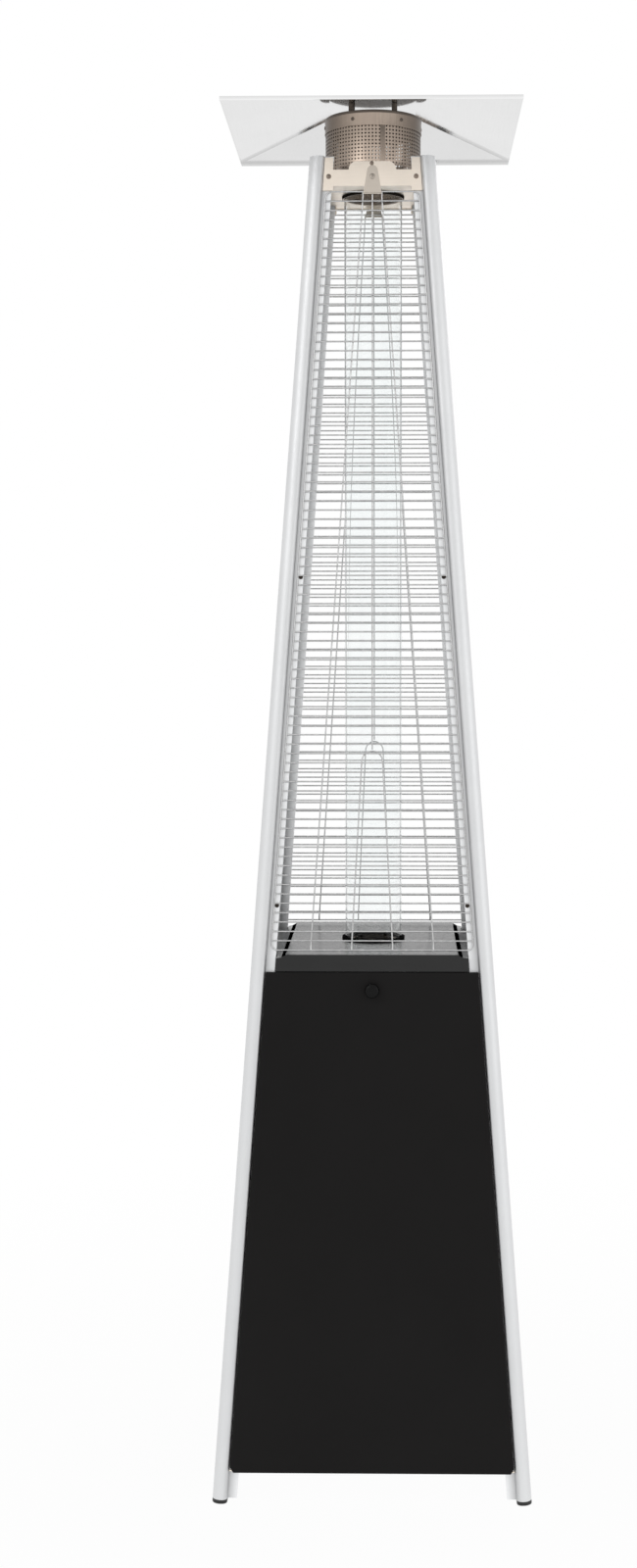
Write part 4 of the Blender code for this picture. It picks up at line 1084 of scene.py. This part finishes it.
def make_bracket():
    reach = half(BRACKET_LEVEL) - FLANGE_STEP + GAP + BRACKET_SHEET / 2
    arm = flange_edge(BRACKET_LEVEL) - GAP
    hole = TUBE_RADIUS + GAP + RING_SLEEVE + GAP
    circle = arc((0, 0), hole, 0, 4, 96)[:-1]
    shelf = plate([rounded_plus(reach, arm, BRACKET_CORNER), circle], BRACKET_SHEET)
    shelf.transform(shift(0, 0, BRACKET_LEVEL - BRACKET_SHEET / 2))
    ear_low = GUARD_TOP + WIRE / 2 + GAP
    ear_in = sheet_edge(BAR_LOW) - EAR_WIDTH
    line = [
        (HUMP_HALF / 2, slope(BAR_LOW)),
        (ear_in, slope(BAR_LOW)),
        (ear_in, slope(ear_low)),
        (sheet_edge(ear_low), slope(ear_low)),
        (sheet_edge(EAR_TOP), slope(EAR_TOP)),
        (ear_in, slope(EAR_TOP)),
        (ear_in, slope(BAR_TOP)),
        (HUMP_HALF, slope(BAR_TOP)),
    ]
    hump = arc((HUMP_HALF - HUMP_HEIGHT, slope(BAR_TOP)), HUMP_HEIGHT, 0, 1, 12)
    right = rounded(line, BAR_CORNER, closed=False) + hump[1:]
    outline = right + [(-x, y) for x, y in reversed(right)]
    upright = plate([outline], BRACKET_SHEET)
    meshes = [shelf]
    for name, side in SIDES:
        seat = shift(0, 0, SEAT_OUT + BRACKET_SHEET / 2)
        meshes.append(moved(upright, face_matrix(side) @ seat))
    piece("head_bracket", meshes, "stainless_steel", ["top_bracket"])

    clip = [
        (CLIP_LOW_HALF, slope(CLIP_LOW)),
        *arc((0, slope(CLIP_TOP) - CLIP_TOP_HALF), CLIP_TOP_HALF, 0, 2, 20),
        (-CLIP_LOW_HALF, slope(CLIP_LOW)),
    ]
    flat = plate([clip], CLIP_SHEET)
    out = SEAT_OUT + max(BRACKET_SHEET, WIRE) + GAP + CLIP_SHEET / 2
    lip_height, lip_end = slope(CLIP_LOW) + CLIP_LIP_RISE, CLIP_LOW_HALF - CLIP_LIP_RADIUS
    lip = rod([(-lip_end, lip_height, 0), (lip_end, lip_height, 0)], CLIP_LIP_RADIUS)
    for name, side in SIDES:
        place = face_matrix(side) @ shift(0, 0, out)
        parts, node = [moved(flat, place), moved(lip, place)], f"guard_clip_{name}"
        piece(f"{name}_clip", parts, "stainless_steel", [node], tone=0.68)


def make_head_screws():
    ear = screw_head(*EAR_SCREW_SIZE)
    big = screw_head(*BAR_SCREW_SIZE)
    small = screw_head(*HUMP_SCREW_SIZE)
    bar, bright = [], []
    ear_out = SEAT_OUT + BRACKET_SHEET
    clip_out = SEAT_OUT + max(BRACKET_SHEET, WIRE) + GAP + CLIP_SHEET
    ear_x = sheet_edge(EAR_SCREW) - EAR_WIDTH / 2
    for name, side in SIDES:
        face = face_matrix(side)
        for sign in (-1, 1):
            bar.append(moved(ear, face @ shift(sign * ear_x, slope(EAR_SCREW), ear_out)))
        bright.append(moved(big, face @ shift(0, slope(BAR_SCREW), clip_out)))
        bar.append(moved(small, face @ shift(-HUMP_SCREW_ASIDE, slope(HUMP_SCREW), ear_out)))
    piece("bracket_screws", bar, "heat_tinted_steel", tone=0.42)
    piece("clip_screws", bright, "stainless_steel", tone=0.5)


def heat_tint_and_painted_shade(point):
    """Heat has darkened the lid's top; the left and right sides are darker than the front and the rear as
    painted shade.
    """
    if point.z > BRACKET_LEVEL + SCREEN_HEIGHT + LID_SHEET - LID_EDGE:
        return LID_TOP_TONE
    reach = math.hypot(point.x, point.y)
    if reach <= SCREEN_RADIUS / 2:
        return SCREEN_MIDDLE_TONE
    return SCREEN_SIDE_PAINTED_SHADE_TONE + (1 - SCREEN_SIDE_PAINTED_SHADE_TONE) * (point.y / reach) ** 4


def make_screen():
    low = BRACKET_LEVEL + GAP
    top = low + SCREEN_HEIGHT
    inside = SCREEN_RADIUS - SCREEN_SHEET
    first, last = low + SCREEN_PLAIN_LOW, top - SCREEN_PLAIN_TOP
    rims = (SCREEN_RADIUS, first), (SCREEN_RADIUS, last)
    mesh = perforated(*rims, SCREEN_COLUMNS, SCREEN_ROWS, 0.27, SCREEN_SHEET)
    foot = lathe([
        (SCREEN_RADIUS, first),
        (SCREEN_RADIUS, low + SCREEN_SHEET),
        (inside, low),
        (SCREEN_RADIUS - SCREEN_FOOT, low),
        (SCREEN_RADIUS - SCREEN_FOOT, low + SCREEN_SHEET),
        (inside, low + SCREEN_SHEET),
        (inside, first),
    ])
    band = lathe([(inside, top), (SCREEN_RADIUS, top), (SCREEN_RADIUS, last), (inside, last)])
    strip = bmesh.new()
    angles = [-QUARTER + math.radians(SEAM_START + SEAM_STEP * i) for i in range(SEAM_POINTS)]
    rows = []
    for height in (low + SEAM_MARGIN, top - SEAM_MARGIN):
        places = [around(SCREEN_RADIUS + SEAM_SHEET, angle, height) for angle in angles]
        rows.append([strip.verts.new(place) for place in places])
    for i in range(len(angles) - 1):
        strip.faces.new((rows[0][i], rows[0][i + 1], rows[1][i + 1], rows[1][i]))
    meshes = [mesh, foot, band, walled(strip, SEAM_SHEET)]
    piece("screen_wall", meshes, "heat_tinted_steel", ["flame_screen"], tone=heat_tint_and_painted_shade)

    skirt_in = SCREEN_RADIUS + GAP
    skirt_out = skirt_in + LID_SHEET
    under = top + GAP
    lid_top = under + LID_SHEET
    seam_low = lid_top - LID_SKIRT
    profile = [
        (0, lid_top),
        (skirt_out - LID_FLAT_MARGIN, lid_top),
        (skirt_out - LID_ROUND, lid_top),
        (skirt_out, lid_top - LID_ROUND),
        (skirt_out, lid_top - LID_BAND),
        (skirt_out - LID_STEP, lid_top - LID_GROOVE_TOP),
        (skirt_out - LID_STEP, seam_low + LID_GROOVE_LOW),
        (skirt_out, seam_low + LID_HEM),
        (skirt_out, seam_low + LID_STEP),
        (skirt_out - LID_STEP, seam_low),
        (skirt_in, seam_low),
        (skirt_in, under),
        (0, under),
    ]
    cap = lathe(profile, 128, closed=False)
    piece("screen_cap", [cap], "heat_tinted_steel", ["screen_lid"], tone=heat_tint_and_painted_shade)
    head = screw_head(*CAP_SCREW_SIZE)
    screws = []
    for i in range(CAP_SCREW_COUNT):
        turn = spin(math.radians(CAP_SCREW_START) + FULL_TURN / CAP_SCREW_COUNT * i)
        place = facing_front(0, CAP_SCREW_SINK - skirt_out, lid_top - CAP_SCREW_DROP)
        screws.append(moved(head, turn @ place))
    piece("cap_screws", screws, "heat_tinted_steel", tone=0.3)
    return lid_top


def square_ring(edit, reach, height):
    return [edit.verts.new((x * reach, y * reach, height)) for x, y in ((-1, -1), (1, -1), (1, 1), (-1, 1))]


def make_reflector(lid_top):
    flat_under = lid_top + GAP + POST_HEIGHT + GAP
    flat_top = flat_under + REFLECTOR_SHEET
    edge = flat_top - REFLECTOR_DROP
    edit = bmesh.new()
    rows = [
        square_ring(edit, REFLECTOR_FLAT_WIDTH / 2, flat_top),
        square_ring(edit, REFLECTOR_WIDTH / 2, edge),
        square_ring(edit, REFLECTOR_WIDTH / 2, edge - REFLECTOR_RIM),
    ]
    edit.faces.new(rows[0])
    for upper, lower in zip(rows, rows[1:]):
        bridge(edit, lower, upper)
    sheet = sheet_mesh(edit, REFLECTOR_SHEET, REFLECTOR_FOLD, 1)

    def tone(point):
        return 1.0 if point.z < edge - REFLECTOR_RIM / 2 else REFLECTOR_TONE

    piece("reflector_sheet", [sheet], "mirror_sheet", ["reflector"], angle=4, tone=tone)

    post_low = lid_top + GAP
    post_top = post_low + POST_HEIGHT
    profile = rounded([
        (0, flat_top + STUD_ABOVE),
        (STUD_RADIUS, flat_top + STUD_ABOVE),
        (STUD_RADIUS, post_top),
        (POST_RADIUS, post_top),
        (POST_RADIUS, post_low),
        (0, post_low),
    ], POST_ROUND, closed=False)
    post = lathe(profile, 32, closed=False)
    nut_low = flat_top + GAP
    top, flange = nut_low + NUT_HEIGHT, nut_low + NUT_FLANGE
    bore = STUD_RADIUS + GAP
    flat = NUT_RADIUS * math.cos(math.pi / 6)
    body = lathe([
        (0, top),
        (flat, top),
        (NUT_RADIUS, top - NUT_CHAMFER),
        (NUT_RADIUS, nut_low),
        (0, nut_low),
    ], 6, closed=False)
    collar = lathe([
        (bore, flange),
        (NUT_FLANGE_RADIUS - NUT_FLANGE_ROUND, flange),
        (NUT_FLANGE_RADIUS, flange - NUT_FLANGE_ROUND),
        (NUT_FLANGE_RADIUS, nut_low),
        (bore, nut_low),
    ], 48)
    nut = joined([cut_from(body, [drum(bore, top + GAP, nut_low - GAP, 32)]), collar], "nut")
    for number in range(1, 5):
        turn = spin((number - 1) * QUARTER)
        place = turn @ shift(-POST_SPREAD, -POST_SPREAD, 0)
        post_node, nut_node = f"reflector_post_{number}", f"reflector_nut_{number}"
        piece(f"post_{number}", [moved(post, place)], "heat_tinted_steel", [post_node], tone=0.20)
        piece(f"nut_{number}", [moved(nut, place)], "stainless_steel", [nut_node])


# Guards


def make_guards():
    low, top = slope(GUARD_LOW), slope(GUARD_TOP)
    spaces = round((top - low) / RUNG_PITCH)
    pitch = (top - low) / spaces

    def edge(up):
        return guard_half(0) - up * math.sin(LEAN)

    meshes = []
    radius = WIRE / 2
    for i in range(1, spaces):
        up = low + i * pitch
        meshes.append(rod([(-edge(up) + radius, up, 0), (edge(up) - radius, up, 0)], radius, 1))
    frame_line = [
        (-edge(low) + radius, low),
        (edge(low) - radius, low),
        (edge(top) - radius, top),
        (-edge(top) + radius, top),
    ]
    loop = [(x, y, 0) for x, y in rounded(frame_line, GUARD_CORNER, 8)]
    meshes.append(rod(loop, radius, 2, closed=True))
    back = -WIRE - GAP
    turn_in = RUNG_PITCH / 2
    wide_low = guard_half(GUARD_LOW) * PAIR_LOW_SHARE
    near_low = guard_half(GUARD_LOW) * PAIR_TOP_SHARE
    near_top = guard_half(GUARD_TOP) * PAIR_TOP_SHARE
    for sign in (-1, 1):
        route = [
            (sign * wide_low, low, 0),
            (sign * wide_low, low + turn_in, back),
            (sign * near_top, top - turn_in, back),
            (sign * near_top, top, 0),
        ]
        meshes.append(rod(rounded(route, PAIR_BEND, closed=False), radius))
    pin_top = slope(HAIRPIN_TOP)
    bend = [(x, y, back) for x, y in arc((0, pin_top - HAIRPIN_BEND), HAIRPIN_BEND, 0, 2, 24)]
    ends = [(near_low, low, 0), (near_low, low + turn_in, back)]
    meshes.append(rod(ends + bend + [(-x, y, z) for x, y, z in reversed(ends)], radius))
    centre_low = pin_top + GAP + WIRE
    meshes.append(rod([(0, centre_low, back), (0, top - turn_in, back), (0, top, 0)], radius))
    seat = shift(0, 0, SEAT_OUT + WIRE / 2)
    for name, side in SIDES:
        wires = [moved(mesh, face_matrix(side) @ seat) for mesh in meshes]
        piece(f"{name}_guard", wires, "guard_wire", [f"wire_guard_{name}"], angle=80)


def make_guard_screws():
    """The dark screws that hold each guard's rails to the legs' flanges; their near-black tone is partly
    painted shade.
    """
    head = screw_head(*GUARD_SCREW_SIZE)
    screws = []
    for name, side in SIDES:
        for height in GUARD_SCREWS:
            across = guard_half(height) - WIRE - GUARD_SCREW_INSET
            for sign in (-1, 1):
                place = shift(sign * across, slope(height), -FLANGE_STEP * math.cos(LEAN))
                screws.append(moved(head, face_matrix(side) @ place))
    piece("guard_screws", screws, "heat_tinted_steel", tone=0.10)


# Controls and wheels


def make_dial(box_front):
    taper, face = DIAL_LENGTH / 8, DIAL_LENGTH - DIAL_DISH
    edit = bmesh.new()
    rings = []
    for radius, height, flute_share in (
        (STEM_RADIUS + GAP, STEM_IN_KNOB, 0),
        (STEM_RADIUS + GAP, 0, 0),
        (DIAL_RADIUS - DIAL_ROUND, 0, 0),
        (DIAL_RADIUS, DIAL_ROUND, 0),
        (DIAL_RADIUS, DIAL_SKIRT, 0),
        (DIAL_RADIUS, DIAL_SKIRT + DIAL_ROUND, 1),
        (DIAL_RADIUS, DIAL_LENGTH - taper - DIAL_CROWN, 1),
        (DIAL_RADIUS - taper * 0.5, DIAL_LENGTH - taper * 0.35, 0.6),
        (DIAL_RADIUS - taper, DIAL_LENGTH, 0),
        (DIAL_RADIUS * 0.62, DIAL_LENGTH, 0),
        (DIAL_RADIUS * 0.58, face, 0),
        (DIAL_DISH, face, 0),
    ):
        ring = []
        for i in range(DIAL_STEPS):
            angle = FULL_TURN * i / DIAL_STEPS
            dent = DIAL_FLUTE_DEPTH * (0.5 + 0.5 * math.cos(DIAL_FLUTES * angle))
            ring.append(edit.verts.new(around(radius - dent * flute_share, angle, height)))
        rings.append(ring)
    for first, second in zip(rings, rings[1:]):
        bridge(edit, first, second)
    for end in (rings[0], rings[-1]):
        edit.faces.new(end)
    bmesh.ops.recalc_face_normals(edit, faces=edit.faces)
    pointer = box_mesh(
        (-DIAL_POINTER_WIDTH / 2, 0, DIAL_LENGTH - DIAL_POINTER_SUNK),
        (DIAL_POINTER_WIDTH / 2, DIAL_RADIUS - taper, DIAL_LENGTH + DIAL_POINTER_HEIGHT),
        DIAL_POINTER_EDGE,
    )
    place = facing_front(0, -box_front - DIAL_STANDOFF, CONTROL_HEIGHT)
    meshes = [moved(mesh_from(edit, "dial"), place), moved(pointer, place)]
    piece("dial", meshes, "black_moulding", ["control_knob"], "control_knob")


def make_controls():
    box_front = half(CONTROL_HEIGHT) - BOX_BEHIND
    make_dial(box_front)
    bezel_top = GAP + IGNITER_BEZEL_THICKNESS
    igniter = facing_front(-IGNITER_SIDE, -box_front, CONTROL_HEIGHT)
    low, high = bezel_top - BUTTON_IN_BODY, bezel_top + BUTTON_PROUD
    cap = [
        (0, high - 2 * BUTTON_ROUND),
        (BUTTON_RADIUS * 0.5, high - 1.25 * BUTTON_ROUND),
        (BUTTON_RADIUS * 0.8, high),
        (BUTTON_RADIUS * 0.93, high - BUTTON_ROUND),
        (BUTTON_RADIUS, high - 3.5 * BUTTON_ROUND),
        (BUTTON_RADIUS, low),
        (0, low),
    ]
    button = moved(lathe(cap, 64, closed=False), igniter)
    piece("button_cap", [button], "red_button", ["igniter_button"], "igniter_button")
    bore = BUTTON_RADIUS + GAP
    button_bore = low - BUTTON_TRAVEL - GAP
    bezel = [(bore, bezel_top), (IGNITER_BEZEL, bezel_top), (IGNITER_BEZEL, GAP), (IGNITER_RADIUS, GAP)]
    body = rounded(bezel, BEZEL_ROUND, closed=False)
    for i in range(THREAD_COUNT):
        crest = -THREAD_START - i * THREAD_PITCH
        for flanks, depth in ((0, 0), (1, THREAD_DEPTH), (2, THREAD_DEPTH), (3, 0)):
            body.append((IGNITER_RADIUS - depth, crest - flanks * THREAD_FLANK))
    body += [
        (IGNITER_RADIUS, IGNITER_END - IGNITER_LENGTH),
        (IGNITER_RADIUS - IGNITER_END, -IGNITER_LENGTH),
        (0, -IGNITER_LENGTH),
        (0, button_bore),
        (bore, button_bore),
    ]
    shell = moved(lathe(body, 64, closed=False), igniter)
    piece("igniter_shell", [shell], "black_moulding", ["igniter_body"])

    ticks = []
    last = TICK_COUNT - 1
    for i in range(TICK_COUNT):
        turn = spin(math.radians(-DIAL_SWEEP * i / last))
        end = TICK_RADIUS + (TICK_END_LENGTH if i in (0, last) else TICK_LENGTH)
        tick = box_mesh((-TICK_HALF, TICK_RADIUS, -TICK_SUNK), (TICK_HALF, end, TICK_HEIGHT), TICK_SUNK)
        ticks.append(moved(tick, facing_front(0, -box_front, CONTROL_HEIGHT) @ turn))
    piece("dial_marks", ticks, "black_moulding")


def make_wheels():
    along = Matrix.Rotation(QUARTER, 4, "Y")
    height = WHEEL_RADIUS + WHEEL_ABOVE_FLOOR
    axle = shift(0, half(height) + WHEEL_BEHIND + WHEEL_RADIUS, height) @ along
    side, hub = WHEEL_WIDTH / 2, WHEEL_WIDTH / 2 + WHEEL_HUB_PROUD
    bore, rim = AXLE_RADIUS + GAP, WHEEL_RADIUS * WHEEL_RIM_SHARE
    floor = WHEEL_RADIUS - GROOVE_DEPTH
    tread = [(WHEEL_RADIUS, side - WHEEL_ROUND)]
    for middle in (GROOVE_SPACING, 0, -GROOVE_SPACING):
        tread += [(WHEEL_RADIUS, middle + GROOVE_HALF), (floor, middle + GROOVE_FLOOR_HALF)]
        tread += [(floor, middle - GROOVE_FLOOR_HALF), (WHEEL_RADIUS, middle - GROOVE_HALF)]
    tread.append((WHEEL_RADIUS, WHEEL_ROUND - side))
    face = [
        (bore, hub),
        (WHEEL_HUB_RADIUS - WHEEL_HUB_ROUND, hub),
        (WHEEL_HUB_RADIUS, hub - WHEEL_HUB_ROUND),
        (WHEEL_HUB_RADIUS + WHEEL_HUB_ROUND, side - WHEEL_DISH),
        (rim - WHEEL_RIM_ROUND, side - WHEEL_DISH),
        (rim, side - WHEEL_RIM_STEP),
        (rim + WHEEL_RIM_ROUND, side),
        (WHEEL_RADIUS - WHEEL_ROUND, side),
        (WHEEL_RADIUS - WHEEL_ROUND * 0.35, side - WHEEL_ROUND * 0.4),
    ]
    profile = face + tread + [(r, -z) for r, z in reversed(face)]
    wheel = lathe(profile, 96)
    for name, sign in (("left", -1), ("right", 1)):
        place = shift(sign * WHEEL_MIDDLE, 0, 0) @ axle
        body = f"wheel_{name}"
        piece(f"{name}_tyre", [moved(wheel, place)], "wheel_rubber", [body], body, angle=25)


make_legs()
make_panels()
make_deck()
make_tube()
make_burner()
make_bracket()
make_head_screws()
make_reflector(make_screen())
make_guards()
make_guard_screws()
make_controls()
make_wheels()

# A piece without a skin of its own keeps its solid, with the finish of its slot

SLOT_OF = {part["node"]: part["material_slot"] for part in frame["record"]["subparts"]}
for name, node in frame["nodes"].items():
    node.data.materials.clear()
    node.data.materials.append(FINISHES[SLOT_OF[name]].made)
    node.data.shade_smooth()
    node.data.set_sharp_from_angle(angle=math.radians(30))


# Floor, world, lights and camera


def shown_white(tree, dim, share):
    """A background or emission that is white to the camera, in gloss and through glass."""
    path = tree.nodes.new("ShaderNodeLightPath")
    seen = add_math(tree, "ADD", path.outputs["Is Camera Ray"], path.outputs["Is Glossy Ray"])
    seen = add_math(tree, "ADD", seen, path.outputs["Is Transmission Ray"])
    return map_range(tree, seen, 0, 1, dim, share)


def make_stage():
    floor_material = bpy.data.materials.new("floor_white")
    floor_material.use_nodes = True
    tree = floor_material.node_tree
    shader = tree.nodes["Principled BSDF"]
    shader.inputs["Base Color"].default_value = (0.86, 0.86, 0.86, 1)
    shader.inputs["Roughness"].default_value = 0.7
    shader.inputs["Specular IOR Level"].default_value = 0.2
    glow = tree.nodes.new("ShaderNodeEmission")
    place = tree.nodes.new("ShaderNodeTexCoord").outputs["Object"]
    length = add_node(tree, "ShaderNodeVectorMath", "LENGTH", Vector=place)
    far = map_range(tree, length.outputs["Value"], *SHADOW_REACH, *FLOOR_GLOW_SHARES)
    share = add_math(tree, "MULTIPLY", far, shown_white(tree, 0, 1))
    mix = add_node(tree, "ShaderNodeMixShader", Fac=share)
    tree.links.new(shader.outputs[0], mix.inputs[1])
    tree.links.new(glow.outputs[0], mix.inputs[2])
    tree.links.new(mix.outputs[0], tree.nodes["Material Output"].inputs["Surface"])
    edit = bmesh.new()
    bmesh.ops.create_grid(edit, x_segments=2, y_segments=2, size=FLOOR_SIZE)
    mesh = mesh_from(edit, "floor")
    mesh.materials.append(floor_material)
    linked(mesh, "floor")

    world = bpy.data.worlds.new("studio")
    bpy.context.scene.world = world
    world.use_nodes = True
    background = world.node_tree.nodes["Background"]
    background.inputs["Color"].default_value = (1, 1, 1, 1)
    world.node_tree.links.new(shown_white(world.node_tree, WORLD_STRENGTH, 1), background.inputs["Strength"])


def area_light(name, place, target, size, power):
    data = bpy.data.lights.new(name, "AREA")
    data.shape = "RECTANGLE"
    data.size, data.size_y = size
    data.energy = power
    lamp = linked(data, name)
    lamp.location = place
    lamp.visible_transmission = False
    lamp.rotation_euler = (Vector(target) - Vector(place)).to_track_quat("-Z", "Y").to_euler()


def make_camera():
    """The photograph's camera, from the fit to the legs, panel, deck and reflector."""
    pitch, yaw, roll = CAMERA_PITCH, CAMERA_YAW, CAMERA_ROLL
    forward = Vector((math.sin(yaw) * math.cos(pitch), math.cos(yaw) * math.cos(pitch), -math.sin(pitch)))
    level = Vector((math.cos(yaw), -math.sin(yaw), 0))
    above = level.cross(forward)
    right = level * math.cos(roll) + above * math.sin(roll)
    up = above * math.cos(roll) - level * math.sin(roll)
    data = bpy.data.cameras.new("camera")
    data.sensor_fit = "VERTICAL"
    data.sensor_height = SENSOR_HEIGHT
    data.lens = SENSOR_HEIGHT * PHOTO_FOCAL / PHOTO_HEIGHT
    data.shift_x = -PHOTO_MIDDLE_OFFSET / PHOTO_HEIGHT
    data.clip_end = FAR_CLIP
    camera = linked(data, "camera")
    turn = Matrix((right, up, -forward)).transposed().to_4x4()
    place = (CAMERA_ASIDE, -CAMERA_DISTANCE - FORWARD_SHIFT, CAMERA_HEIGHT)
    camera.matrix_world = shift(*place) @ turn
    bpy.context.scene.camera = camera


make_stage()
area_light("key", (-2.6, -3.4, 3.4), (0, 0, 1.2), (2.2, 2.2), 24)
area_light("fill", (3.2, -2.4, 1.8), (0, 0, 1.1), (2.5, 2.5), 12)
area_light("back", (1.6, 2.8, 3.5), (0, 0, 1.4), (2.4, 2.4), 25)
make_camera()
bpy.context.scene.view_settings.view_transform = "Standard"
